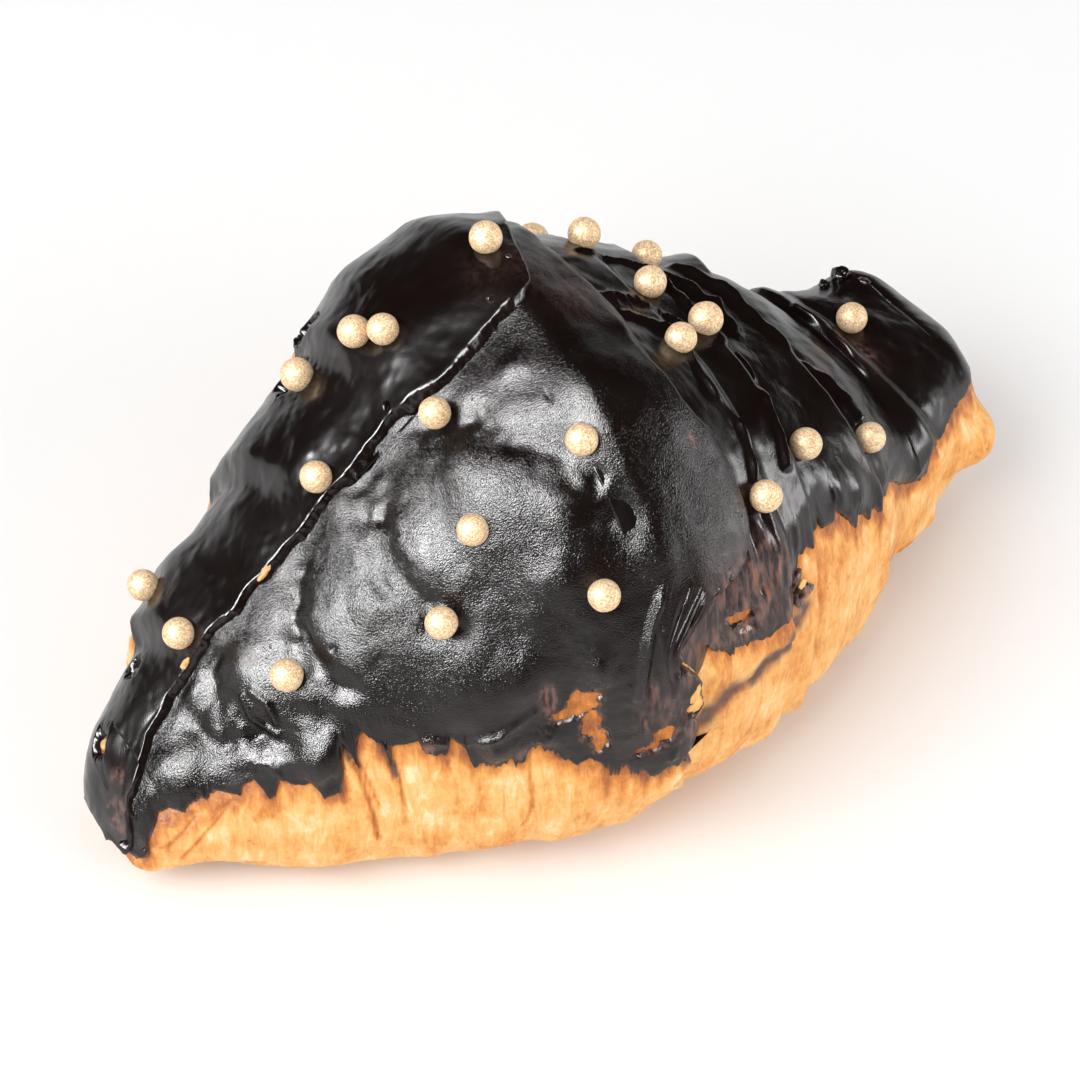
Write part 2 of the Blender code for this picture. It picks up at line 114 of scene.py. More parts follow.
# ---- Edges of the chocolate sheets -----------------------------------------
FRONT_EDGE = (            # along, turn: lower edge of the front sheet
    (-0.96, -22), (-0.95, -15), (-0.944, 14), (-0.922, 41.4), (-0.902, 43.3), (-0.88, 35),
    (-0.864, 38.6), (-0.844, 40.8), (-0.836, 36.1), (-0.828, 40), (-0.81, 38.1), (-0.79, 33.1),
    (-0.78, 29.7), (-0.774, 35.8), (-0.752, 36.7), (-0.744, 30.8), (-0.736, 23.3), (-0.724, 25),
    (-0.71, 30.8), (-0.686, 26.1), (-0.662, 24.2), (-0.646, 15.8), (-0.616, 16.9),
    (-0.608, 21.4), (-0.596, 32.8), (-0.586, 28.9), (-0.58, 22.1), (-0.572, 31.7),
    (-0.558, 34.2), (-0.546, 30), (-0.532, 24.2), (-0.526, 17.5), (-0.52, 24.4), (-0.496, 23.3),
    (-0.472, 22.5), (-0.468, 18.6), (-0.45, 16.1), (-0.428, 15.3), (-0.418, 20.6),
    (-0.406, 17.2), (-0.396, 15), (-0.39, 10.3), (-0.338, 8.6), (-0.32, 9.4), (-0.302, 6.9),
    (-0.28, 10.8), (-0.26, 8.6), (-0.244, 6.9), (-0.204, 2.5), (-0.18, 3.1), (-0.138, 0.3),
    (-0.118, 1.4), (-0.096, 0.3), (-0.06, -1.1), (-0.016, -0.3),
)
RIGHT_EDGE = (            # along, turn: lower edge on the right arm
    (-0.05, 19), (0, 18.9), (0.01, 19.4), (0.032, 17.2), (0.092, 12.8), (0.142, 12.5),
    (0.182, 11.9), (0.208, 13.3), (0.236, 13.6), (0.248, 18), (0.256, 22.5), (0.27, 26.4),
    (0.292, 28.1), (0.345, 28.9), (0.352, 33.5), (0.362, 28.9), (0.394, 29.4), (0.398, 34.6),
    (0.406, 31.7), (0.434, 27), (0.446, 24), (0.452, 29.5), (0.47, 27.5), (0.482, 24.5),
    (0.492, 28.5), (0.512, 24.8), (0.52, 28), (0.568, 25.6), (0.59, 29.8), (0.642, 23.7),
    (0.708, 18.7), (0.73, 19.2), (0.74, 25.8), (0.754, 28.6), (0.788, 25.7), (0.812, 31.1),
    (0.848, 34.7), (0.888, 35.8), (0.922, 37.8), (1, 40),
)
FLAP_EDGE = (             # turn, along: where the front sheet ends on the right arm
    (-60, -0.03), (-0.3, 0.002), (1.7, 0.014), (4.2, 0.02), (9.7, 0.008), (14, 0),
    (17.2, -0.002), (21.1, 0.012), (23.9, 0.03), (26.9, 0.06), (29.2, 0.105), (31.4, 0.13),
    (35, 0.15), (41.4, 0.162), (51.4, 0.162), (59.7, 0.155), (65.6, 0.132), (74.2, 0.126),
    (80, 0.127), (86.7, 0.14), (90.8, 0.138), (95.8, 0.134), (110.6, 0.134), (150, 0.2),
)
SEAM_LINE = (             # along, turn: front rim of the back sheet, round the left tip
    (-1, -30), (-0.968, -24), (-0.964, 5), (-0.958, 40), (-0.942, 59), (-0.908, 74),
    (-0.862, 86.5), (-0.8, 90), (-0.734, 90.6), (-0.646, 90), (-0.556, 90), (-0.464, 90.3),
    (-0.374, 89.9), (-0.3, 90.2), (-0.256, 90.6), (-0.2, 89.2), (-0.106, 89.7), (-0.008, 90.6),
    (0.02, 92), (0.12, 93),
)
LEFT_END = (              # turn, along: where the front sheet ends under that rim
    (-60, -0.966), (0, -0.974), (35, -0.972), (59, -0.958), (74, -0.925), (86, -0.88),
    (92, -0.86), (360, -0.86),
)

# ---- What breaks the chocolate's surface: along, turn, sizes in mm ---------
BARE_SPOTS = (            # half width, half height
    (-0.186, 15.6, 2.1, 2.5), (-0.174, 10.2, 1.3, 3), (-0.216, 14.4, 1.7, 0.9),
    (-0.16, 6.6, 0.9, 2.2), (-0.07, 2.6, 1.9, 0.7), (-0.042, 4, 1.3, 1.7),
    (0.134, 19, 2.6, 0.6), (0.012, 7.5, 0.8, 1.2), (-0.934, 112, 0.9, 1.2),
    (-0.812, 124, 0.9, 1.2), (-0.318, 128, 2, 3.6), (-0.234, 134, 1.6, 2.6),
)
THIN_SPOTS = (            # half width, half height, how thin from 0 to 1
    (0.15, 26, 7.5, 6.5, 1), (0.09, 17, 8, 3, 0.9), (0.225, 20, 3.5, 5, 0.9),
    (-0.244, 20, 1.3, 2.4, 1), (-0.064, 13.4, 0.9, 2.8, 1), (-0.048, 8, 3.4, 5, 0.6),
    (-0.08, 8.6, 0.5, 1.8, 1), (0.016, 4, 2.6, 4, 0.8), (0.03, 14, 3, 3, 0.7),
    (-0.655, 78.5, 0.7, 1.3, 0.8), (0.094, 57.8, 0.6, 1, 1), (-0.455, 19.5, 0.9, 1.6, 1),
    (-0.3, 9.5, 1.2, 1.4, 0.9), (0.04, 97, 4.5, 5, 0.45), (0.085, 91, 5, 4, 0.35),
    (0.735, 83, 2.2, 4, 0.6), (-0.94, 84, 1, 1.6, 0.9), (-0.965, 62, 1.2, 2, 0.8),
    (-0.978, 30, 1, 1.6, 0.7), (-0.716, 92.5, 2, 1, 0.4), (0.48, 42, 1.2, 3.5, 0.35),
)
PITS = (                  # half width, half height, depth
    (-0.568, 72.5, 0.5, 1.6, 0.55), (-0.244, 20, 1, 1.8, 0.8), (-0.064, 13.4, 0.6, 2.4, 0.8),
    (-0.08, 8.6, 0.4, 1.4, 0.6), (0.13, 16.8, 2, 0.9, 0.9), (-0.94, 84, 0.8, 1.2, 0.8),
    (-0.965, 62, 0.9, 1.4, 0.8), (-0.978, 30, 0.8, 1.4, 0.7), (-0.052, 76, 0.35, 0.9, 0.35),
    (0.172, 39, 0.8, 2.2, 0.8), (0.205, 38, 0.6, 3, 0.8), (-0.54, 63, 0.5, 0.5, 0.4),
)
BULGES = (                # half width, half height, height
    (0.09, 68, 9, 9.5, 2.5), (-0.235, 70, 10.5, 9.5, 1.6), (-0.5, 72, 5, 8.5, 1.3),
    (-0.452, 65, 3, 3.2, 0.7), (-0.668, 76, 3.2, 4.2, 1), (-0.868, 62, 4, 4, 1.1),
    (-0.768, 87, 1.8, 1.6, 0.5), (-0.77, 70, 3.2, 2.2, 0.6), (-0.285, 27, 4, 4.4, 1.3),
    (-0.15, 22, 1.8, 3.4, 1), (-0.345, 13, 1.7, 3, 1.2), (-0.252, 13, 1.6, 2.6, 1.1),
    (-0.632, 30, 2.6, 4.4, 1.5), (0.69, 29, 5, 6, 1.6), (0.45, 36, 2, 3, 1),
    (0.405, 37, 1.5, 3, 0.8), (0.56, 34, 1.4, 3.6, 0.8), (0.52, 33, 1.2, 3.6, 0.8),
    (0.125, 84, 3, 4, 0.8), (-0.07, 85, 2.6, 2.2, 0.7), (-0.118, 57, 3.6, 6, 1.1),
    (-0.185, 45, 5, 4, 1), (-0.01, 74, 4, 7, 0.9),
)
VALLEYS = (               # depth, half width, then (along, turn) points of each valley
    (1.3, 2.8, ((-0.225, 88), (-0.16, 79), (-0.11, 69), (-0.068, 58), (-0.04, 47))),
    (1.3, 3, ((-0.355, 88), (-0.4, 78), (-0.412, 68), (-0.395, 58), (-0.36, 48))),
    (1.1, 2, ((-0.53, 87), (-0.576, 78), (-0.59, 70), (-0.58, 60), (-0.56, 50))),
    (1.2, 2.2, ((-0.715, 86), (-0.735, 79), (-0.728, 68), (-0.705, 57), (-0.69, 45))),
    (1.2, 3, ((-0.8, 74), (-0.78, 62), (-0.72, 52), (-0.62, 46))),
)
RIDGES = (                # height, half width, then (along, turn) points of each ridge
    (0.9, 0.7, ((-0.02, 31), (-0.04, 28), (-0.056, 24.5), (-0.088, 14))),
    (0.8, 0.7, ((-0.026, 27), (-0.036, 20), (-0.034, 12))),
    (0.7, 0.8, ((-0.012, 20), (-0.026, 10), (-0.03, 0))),
    (0.7, 0.5, ((-0.7, 70), (-0.712, 62), (-0.7, 54), (-0.688, 50))),
    (0.6, 0.5, ((-0.682, 69), (-0.672, 62), (-0.68, 54))),
    (0.5, 0.5, ((-0.74, 44), (-0.715, 40), (-0.705, 32))),
    (0.7, 0.9, ((-0.46, 22), (-0.4, 18), (-0.34, 17), (-0.27, 18.5))),
)
LAYER_LINES = (           # the same on the right arm, thin wrinkles over the layer edges
    (0.85, 0.5, ((0.142, 91), (0.18, 91), (0.222, 90), (0.25, 88), (0.262, 86),
                 (0.252, 84), (0.222, 84), (0.19, 86), (0.165, 88))),
    (0.9, 0.5, ((0.216, 79), (0.198, 72), (0.2, 66), (0.218, 60), (0.219, 54), (0.208, 48),
                (0.19, 40))),
    (0.95, 0.55, ((0.21, 106), (0.288, 104), (0.325, 98), (0.308, 89), (0.31, 82), (0.352, 79),
                  (0.348, 73), (0.312, 64), (0.304, 56), (0.29, 48))),
    (1.4, 1, ((0.36, 108), (0.392, 104), (0.408, 98), (0.418, 92.5), (0.4, 87))),
    (1.1, 1, ((0.45, 112), (0.475, 98), (0.47, 86), (0.5, 78), (0.535, 70), (0.548, 62),
              (0.556, 55))),
    (0.9, 1.3, ((0.72, 104), (0.73, 94), (0.715, 84), (0.69, 74))),
)
ROUGH_SPOT = (0.140, 28.0, 8.0, 6.5)      # thin chocolate drawn into fine upright ridges
CRACKS = (                # depth, half width, then (along, turn) points in the crust
    (0.5, 0.35, ((-0.597, 33), (-0.585, 22), (-0.572, 8), (-0.56, -4))),
    (0.4, 0.3, ((-0.58, 24), (-0.566, 14), (-0.556, 6))),
    (0.4, 0.3, ((-0.53, 26), (-0.516, 12), (-0.512, 0))),
    (0.5, 0.45, ((0.008, -4), (0.03, 0.5), (0.07, 1.8), (0.104, 3.6), (0.142, 4.6),
                 (0.176, 6.6), (0.21, 8), (0.246, 9.6), (0.27, 12))),
    (0.3, 0.4, ((-0.29, 6), (-0.285, -2), (-0.3, -10))),
    (0.3, 0.4, ((-0.86, 32), (-0.9, 18), (-0.93, 4))),
    (0.3, 0.35, ((-0.8, 30), (-0.86, 14), (-0.9, 0))),
)
SMEAR_LINES = (           # half width of chocolate smeared into a crack, then its points
    (1.5, ((0.012, -0.4), (0.028, 0.6), (0.07, 3), (0.104, 4.6), (0.142, 4.9),
           (0.176, 6.8), (0.21, 8.4), (0.246, 10.8), (0.268, 14))),
    (0.35, ((-0.597, 34), (-0.59, 27))),
    (0.35, ((-0.532, 25), (-0.52, 14))),
)
SHELF = ((0.008, 10.0), (0.120, 9.0), (0.225, 11.0))    # a bare flap under the rough spot
CRUMBS = (                # along, turn, lift, length, width, height, tilt, how thin
    (0.868, 121, 1.7, 1.9, 1.5, 1.7, 20, 0), (0.842, 124, 1.2, 1.2, 1, 1, -30, 0),
    (0.895, 112, 1.3, 1.1, 0.9, 0.7, 40, 0.4), (0.252, 21, 1, 1, 2.4, 0.8, 20, 0.7),
    (0.272, 18, 1, 1.3, 1.9, 0.8, -35, 0.8), (0.258, 16, 0.9, 1.5, 0.9, 0.7, 10, 0.9),
    (-0.03, 92.6, 1.7, 0.7, 0.5, 0.5, 0, 0.4), (0.008, 92.5, 1.5, 0.5, 0.5, 0.4, 0, 0.5),
    (0.02, 98, 1.5, 0.5, 0.6, 0.4, 10, 0.5), (-0.258, 92, 2.4, 0.8, 0.5, 0.5, 50, 0),
)
FLAKES = (                # the same for flakes of bare crust
    (-0.562, 90.6, 2.1, 1.7, 0.7, 0.4, 0, 0), (-0.744, 91.6, 2, 1, 0.6, 0.4, 0, 0),
    (0.262, 20, 1.6, 0.6, 0.9, 0.4, 20, 0), (-0.934, 109.5, 1, 0.7, 1, 0.4, 0, 0),
)


def by_arm(along, left, right):
    """The left arm's value or the right arm's."""
    return np.where(along < 0, left, right)


def smooth(x):
    """Rises from 0 to 1 between 0 and 1."""
    x = np.clip(x, 0.0, 1.0)
    return x * x * (3.0 - 2.0 * x)


def hill(x, place, width):
    """A bell of height 1."""
    return np.exp(-((x - place) / width) ** 2)


def taper(along, middle, left_end, right_end, left_fall, right_fall):
    """Half depth or height of the roll, from its middle value down to the tips."""
    reach = np.abs(along)
    core = (1.0 - reach ** TAPER) ** by_arm(along, left_fall, right_fall)
    end = by_arm(along, left_end, right_end)
    size = end + (middle - end) * core
    swell = KNOB_SWELL * hill(along, KNOB_PLACE, KNOB_WIDTH)
    pinch = WAIST_PINCH * hill(along, WAIST_PLACE, WAIST_WIDTH)
    cap = np.sqrt(1.0 - np.clip((reach - 1.0 + CAP) / CAP, 0.0, 1.0) ** 2)
    return size * (1.0 + swell - pinch) * cap


def roll_height(along):
    """Height of the roll over its own underside."""
    return taper(along, HEIGHT, LEFT_END_HEIGHT, RIGHT_END_HEIGHT,
                 LEFT_HEIGHT_FALL, RIGHT_HEIGHT_FALL)


def roll_point(along, turn):
    """A point of the plain roll, without layers."""
    angle = np.radians(turn)
    depth = taper(along, HALF_DEPTH, LEFT_END_DEPTH, RIGHT_END_DEPTH,
                  LEFT_DEPTH_FALL, RIGHT_DEPTH_FALL)
    height = roll_height(along)
    reach = by_arm(along, LEFT_REACH, RIGHT_REACH)
    bend = by_arm(along, LEFT_BEND, RIGHT_BEND)
    slope = 2.0 * bend * along / reach
    across = 1.0 / np.sqrt(1.0 + slope ** 2)

    power = 2.0 / SECTION_POWER
    forward = np.sign(np.cos(angle)) * np.abs(np.cos(angle)) ** power * depth
    rise = np.sign(np.sin(angle)) * np.abs(np.sin(angle)) ** power
    level = WIDEST * height
    upper = level + (height - level) * rise
    lower = np.maximum(level * (1.0 + BELLY * rise), 0.0)

    lifted = np.clip((np.abs(along) - LIFT_START) / (1.0 - LIFT_START), 0.0, 1.0)
    lift = by_arm(along, LEFT_LIFT, RIGHT_LIFT) * lifted ** LIFT_CURVE
    lift = lift + WIDEST * (roll_height(np.clip(along, CAP - 1.0, 1.0 - CAP)) - height)
    x = reach * along + slope * across * forward
    y = bend * along ** 2 - across * forward
    z = np.where(rise > 0, upper, lower) + lift
    return np.stack([x, y, z], axis=-1)


def roll_normal(along, turn):
    """Outward direction of the plain roll; at a tip it points along the arm."""
    step = 1e-3
    inner = np.clip(along, -1.0 + 2 * step, 1.0 - 2 * step)
    along_way = roll_point(inner + step, turn) - roll_point(inner - step, turn)
    turn_way = roll_point(inner, turn + 0.5) - roll_point(inner, turn - 0.5)
    normal = np.cross(along_way, turn_way)
    normal = normal / np.maximum(np.linalg.norm(normal, axis=-1, keepdims=True), 1e-12)
    tip = np.stack([np.sign(along), 0.0 * along, 0.0 * along], axis=-1)
    return np.where(np.abs(along)[..., None] > 1.0 - step, tip, normal)


def wrap(turn):
    """The turn between -90 and 270 degrees."""
    return (np.asarray(turn, float) + 90.0) % 360.0 - 90.0


def edge_place(edge, turn):
    """Where a layer's edge lies, for each turn round the roll."""
    wrapped = wrap(turn)
    front = np.clip((90.0 - wrapped) / 90.0, 0.0, 1.0)
    back = np.clip((wrapped - 90.0) / 90.0, 0.0, 1.0)
    under = 0.5 - 0.5 * np.cos(np.radians(2.0 * (wrapped - 90.0)))
    settle = np.where(np.abs(wrapped - 90.0) > 90.0, under, 1.0)
    shift = edge["front"] * front ** FRONT_SWEEP + edge["back"] * back ** BACK_SWEEP
    return edge["crest"] + shift * settle


def edge_step(edge, turn):
    """Drop of a layer's edge, for each turn round the roll."""
    share = 0.5 - 0.5 * np.cos(np.radians(turn))
    return edge["front_step"] * (1.0 - share) + edge["back_step"] * share


def layer_profile(distance, width, fill):
    """Height of a layer against the distance past its edge, for a step of 1."""
    fallen = smooth(distance / width + 0.5)
    swell = np.exp(np.minimum(distance, 0.0) / PUFF)
    hollow = GROOVE_DEPTH * (1.0 - fill) * np.exp(-np.maximum(distance, 0.0) / GROOVE)
    return swell * (1.0 - fallen) - hollow * fallen


def read_line(line, place):
    """Second value of a line of points at each first value."""
    firsts, seconds = zip(*line)
    return np.interp(place, firsts, seconds)


# In front of the seam the left arm's layer edges are soft swells, and behind it they sharpen.
CRISP_WIDTH = 0.0045
CRISP_FROM, CRISP_OVER = 92.0, 26.0       # degrees over which they do


def relief(along, turn, fill=0.0, sheet="crust"):
    """Height of the layers over the plain roll.

    `fill` levels out the grooves. `sheet` "front" carries the front sheet on past
    its end, "right" carries the right arm's layers on under it, "back" is the
    sheet that laps over the seam, and "crust" is the baked roll itself.
    """
    wrapped = wrap(turn)
    total = np.zeros_like(along)
    if sheet in ("crust", "back"):
        lean = np.clip((wrapped - SEAM_TURN) / SEAM_LEAN_TURN, 0.0, 1.0)
        before_end = smooth((SEAM_END + SEAM_END_LEAN * lean - along) / SEAM_END_WIDTH + 0.5)
        past_seam = smooth((wrapped - SEAM_TURN) / SEAM_WIDTH + 0.5)
        rim = before_end * past_seam if sheet == "crust" else 1.0
        total = SEAM_STEP * rim * (1.0 - smooth((wrapped - SEAM_TURN) / SEAM_FADE))
    crisp = smooth((wrapped - CRISP_FROM) / CRISP_OVER)
    for edge in LEFT_EDGES:
        distance = (edge_place(edge, turn) - along) * LEFT_REACH
        sharp = layer_profile(distance, CRISP_WIDTH, fill)
        soft = layer_profile(distance, SWELL_WIDTH, 0.0)
        total = total + edge_step(edge, turn) * (sharp * crisp + soft * (1.0 - crisp))
    for number, edge in enumerate(RIGHT_EDGES):
        place = flap_end(wrapped) if number == 0 else edge_place(edge, turn)
        distance = (along - place) * RIGHT_REACH
        if number == 0 and sheet in ("front", "back"):
            distance = np.minimum(distance, -EDGE_WIDTH)
        if number == 0 and sheet == "right":
            distance = np.maximum(distance, EDGE_WIDTH)
        width = EDGE_WIDTH if sheet == "crust" else 2.0 * EDGE_WIDTH
        total = total + edge_step(edge, turn) * layer_profile(distance, width, fill)
    round_turn = (turn + 180.0) % 360.0 - 180.0
    corner = hill(along, CORNER_PLACE, CORNER_WIDTH) * hill(round_turn, CORNER_TURN, CORNER_SPREAD)
    near_tip = smooth((1.0 - np.abs(along)) / TIP_CALM)
    return (total + CORNER_REACH * corner) * near_tip


def swelling(along, turn):
    """Height of the dough's single swells and dents."""
    total = np.zeros_like(along)
    for place, centre, length, spread, height in SWELLS:
        aside = (turn - centre + 180.0) % 360.0 - 180.0
        total = total + height * hill(along, place, length) * hill(aside, 0.0, spread)
    return total


def lattice_noise(points, cell, seed):
    """Smooth random values between -1 and 1, with lumps `cell` wide.

    Each use has a seed of its own; the large numbers only scramble the bits.
    """
    spots = np.asarray(points, float) / np.asarray(cell, float) + 1000.0 + 7.31 * seed
    base = np.floor(spots).astype(np.int64)
    share = smooth(spots - base)
    total = np.zeros(spots.shape[:-1])
    for corner in range(2 ** spots.shape[-1]):
        code = np.full(total.shape, seed * 374761393 + 12345, np.int64)
        weight = np.ones(total.shape)
        for axis in range(spots.shape[-1]):
            ahead = corner >> axis & 1
            code = (code ^ (base[..., axis] + ahead)) * 668265263 & 0xFFFFFFFF
            code = code ^ code >> 15
            weight = weight * (share[..., axis] if ahead else 1.0 - share[..., axis])
        code = code * 2246822519 & 0xFFFFFFFF
        total += weight * ((code >> 8 & 0xFFFF) / 32767.5 - 1.0)
    return total


def layered_noise(points, cell, seed, octaves=3):
    """Noise with finer and weaker lumps on top of the coarse ones."""
    total = np.zeros(np.asarray(points).shape[:-1])
    for octave in range(octaves):
        finer = 2.0 ** octave
        total += lattice_noise(points, np.asarray(cell) / finer, seed + octave) / finer
    return total


def waves(points, lumps):
    """Noise summed from lumps, each given as height and width in mm and a seed."""
    return sum(height * MM * lattice_noise(points, width * MM, seed)
               for height, width, seed in lumps)


DEGREE = 0.65             # mm that a degree of turn spans where the skin is laid flat
NEAR_EDGE = 1.2 * MM      # how near an edge its slant counts
EVEN_SPAN = np.linspace(-0.036, 0.036, 9)     # along over which its teeth are evened out
EVEN_FROM = 3.5 * MM                          # how far inside they no longer show


class Skin:
    """A stretch of the roll's skin: places, points, directions and distances."""

    def __init__(self, along, turn):
        self.along, self.turn = along, turn
        self.base = roll_point(along, turn)
        self.normal = roll_normal(along, turn)
        self.reach = by_arm(along, LEFT_REACH, RIGHT_REACH)
        ahead = roll_point(along, turn + 0.5) - roll_point(along, turn - 0.5)
        self.per_degree = np.clip(np.linalg.norm(ahead, axis=-1), 1e-5, 1.2 * MM)
        self.flat = np.stack([along * self.reach, turn * DEGREE * MM], axis=-1)
        self.clear = smooth((self.base[..., 2] - FOOT_CLEAR) / FOOT_RISE)
        self.off_tip = smooth((1.0 - np.abs(along)) / 0.015)

    def layers(self, fill, sheet):
        """Height of layers and swells, dying out on the base."""
        layered = relief(self.along, self.turn, fill, sheet) * self.clear
        return layered + swelling(self.along, self.turn) * self.off_tip

    def place(self, height):
        """Points at a height over the plain roll, kept over the table."""
        points = self.base + self.normal * height[..., None]
        points[..., 2] = np.maximum(points[..., 2], 0.0)
        return points

    def from_spot(self, along, turn):
        """Distances along and round the roll from one place, in metres."""
        return (self.along - along) * self.reach, (wrap(self.turn) - turn) * self.per_degree

    def spot(self, along, turn, half_width, half_height):
        """A bell of height 1 round one place; sizes in mm."""
        right, up = self.from_spot(along, turn)
        return np.exp(-(right / (half_width * MM)) ** 2 - (up / (half_height * MM)) ** 2)

    def from_line(self, line):
        """Distance from a line of (along, turn) points, in metres."""
        nearest = np.full(self.along.shape, 1.0)
        for start, end in zip(line[:-1], line[1:]):
            right, up = self.from_spot(*start)
            run = (end[0] - start[0]) * self.reach
            rise = (end[1] - start[1]) * self.per_degree
            share = (right * run + up * rise) / np.maximum(run ** 2 + rise ** 2, 1e-12)
            share = np.clip(share, 0.0, 1.0)
            nearest = np.minimum(nearest, np.hypot(right - share * run, up - share * rise))
        return nearest

    def above(self, turn_at):
        """Distance past an edge given as turn for each along, in metres.

        Well inside the edge, its teeth and drips are evened out.
        """
        step = 0.003
        slope = (turn_at(self.along + step) - turn_at(self.along - step)) / (2.0 * step)
        gap = (self.turn - turn_at(self.along)) * self.per_degree
        run = slope * self.per_degree / self.reach * np.exp(-np.abs(gap) / NEAR_EDGE)
        even = np.mean([turn_at(self.along + shift) for shift in EVEN_SPAN], axis=0)
        even_gap = np.maximum((self.turn - even) * self.per_degree, 0.0)
        share = smooth(gap / EVEN_FROM)
        return gap / np.hypot(1.0, run) * (1.0 - share) + even_gap * share

    def before(self, along_at):
        """Distance short of an edge given as along for each turn, in metres."""
        step = 0.75
        slope = (along_at(self.turn + step) - along_at(self.turn - step)) / (2.0 * step)
        gap = (along_at(self.turn) - self.along) * self.reach
        run = slope * self.reach / self.per_degree * np.exp(-np.abs(gap) / NEAR_EDGE)
        return gap / np.hypot(1.0, run)


def teeth(along, seed):
    """Degrees by which the chocolate's ragged edge hangs down."""
    length = (along * by_arm(along, LEFT_REACH, RIGHT_REACH))[..., None]
    spikes = (1.0 - np.abs(lattice_noise(length, 1.3 * MM, seed))) ** 4
    small = (1.0 - np.abs(lattice_noise(length, 0.55 * MM, seed + 1))) ** 3
    where = 0.55 + 0.45 * lattice_noise(length, 6.0 * MM, seed + 2)
    return (1.7 * spikes + 1.6 * small) * where


def flap_end(turn):
    """Along of the front sheet's end on the right arm, lobed where it hangs low."""
    length = (np.asarray(turn, float) * DEGREE * MM)[..., None]
    lobes = 0.014 * lattice_noise(length, 2.6 * MM, 55)
    lobes = lobes + 0.006 * lattice_noise(length, 1.0 * MM, 56)
    return read_line(FLAP_EDGE, turn) + lobes * smooth((26.0 - turn) / 8.0)


def front_edge(along):
    """Turn of the front sheet's lower edge, without its teeth."""
    return read_line(FRONT_EDGE, along)


def right_edge(along):
    """The same on the right arm."""
    return read_line(RIGHT_EDGE, along)


def back_edge(along):
    """The same behind."""
    return read_line(BACK_LINE, along)


def front_low(along):
    """Turn of the front sheet's lower edge, with its teeth."""
    return front_edge(along) - teeth(along, 51)


def right_low(along):
    """The same on the right arm."""
    return right_edge(along) - 0.8 * teeth(along, 61)


def back_low(along):
    """The same behind."""
    return back_edge(along) + 1.2 * teeth(along, 71)


def seam_turn(along):
    """Turn of the back sheet's front rim; a little uneven."""
    length = (along * by_arm(along, LEFT_REACH, RIGHT_REACH))[..., None]
    return read_line(SEAM_LINE, along) + 0.5 * lattice_noise(length, 3.0 * MM, 81)


# ---- Crust -----------------------------------------------------------------
CRUST_LIFT = 0.4 * MM
CRUST_SINK = 2.4 * MM     # how far it lies under the middle of the chocolate
CRUST_FIBRES = ((0.09, 0.8, 9.0, 5), (0.12, 2.6, 16.0, 8))  # height, width, length in mm, seed
CRUST_FOOT = ((0.8, 9.0, 12), (0.35, 3.5, 13))              # height, width in mm, seed


def crust_lumps(skin):
    """Unevenness that crust and chocolate share."""
    lumps = 0.40 * MM * lattice_noise(skin.base, 0.012, 1)
    return (lumps + 0.18 * MM * layered_noise(skin.base, 0.0045, 3)) * skin.clear


def crack_depth(skin):
    """How far the cracks and the flap's undercut sink into the crust."""
    total = np.zeros_like(skin.along)
    for depth, half_width, line in CRACKS:
        total += depth * MM * hill(skin.from_line(line), 0.0, half_width * MM)
    return total


def chocolate_cover(skin):
    """How far inside the chocolate's outer edges a place of the crust lies."""
    front = np.minimum(skin.above(front_edge), skin.before(flap_end))
    right = np.where(skin.along > -0.05, skin.above(right_edge), -MM)
    rear = (back_edge(skin.along) - wrap(skin.turn)) * skin.per_degree
    return bare_cover(skin, np.minimum(np.maximum(front, right), rear))


def crust_height(skin):
    """The baked crust: layers, swellings, fibres, cracks and a lumpy foot.

    Under the chocolate it is sunk, so that it never breaks through.
    """
    fibres = sum(tall * MM * layered_noise(skin.flat, (wide * MM, long * MM), seed, 2)
                 for tall, wide, long, seed in CRUST_FIBRES)
    low = smooth((12.0 - wrap(skin.turn)) / 30.0) + smooth((wrap(skin.turn) - 175.0) / 20.0)
    foot = waves(skin.flat[..., :1], CRUST_FOOT)
    shelf = 0.9 * MM * hill(skin.from_line(SHELF), 0.0, 3.0 * MM)
    height = skin.layers(0.0, "crust") + crust_lumps(skin) + CRUST_LIFT + shelf - crack_depth(skin)
    sunk = CRUST_SINK * smooth((chocolate_cover(skin) - 0.8 * MM) / (2.2 * MM))
    return height + (fibres + foot * low) * skin.clear * skin.off_tip - sunk * skin.off_tip


def crust_values(skin):
    """Where the crust is darker, with painted shade in its cracks, and where chocolate is smeared
    on it.
    """
    low = by_arm(skin.along, front_edge(skin.along), right_edge(skin.along))
    below = (low - skin.turn) * skin.per_degree
    behind = (skin.turn - back_edge(skin.along)) * skin.per_degree
    near = np.where(skin.turn < 90.0, below, behind)
    patchy = 0.5 + 0.5 * lattice_noise(skin.flat, (1.1 * MM, 4.0 * MM), 91)
    reach = (2.0 + 6.5 * patchy) * MM
    dark_tone_and_crack_shade = (1.0 - smooth(near / reach)) * (0.60 + 0.40 * patchy)
    blotches = 0.30 * smooth(lattice_noise(skin.flat, (3.0 * MM, 9.0 * MM), 92) * 2.0 - 0.2)
    # The cracks get the darkest tone: painted shade in their grooves.
    dark_tone_and_crack_shade = np.maximum(np.maximum(dark_tone_and_crack_shade, blotches), crack_depth(skin) / (0.5 * MM))
    smear = np.zeros_like(skin.along)
    for half_width, line in SMEAR_LINES:
        smear = np.maximum(smear, 1.7 * hill(skin.from_line(line), 0.0, half_width * MM))
    smear *= 0.75 + 0.6 * lattice_noise(skin.flat, (1.2 * MM, 1.2 * MM), 93)
    return {"dark_tone_and_crack_shade": np.clip(dark_tone_and_crack_shade, 0.0, 1.0), "smear": np.clip(smear, 0.0, 1.0)}


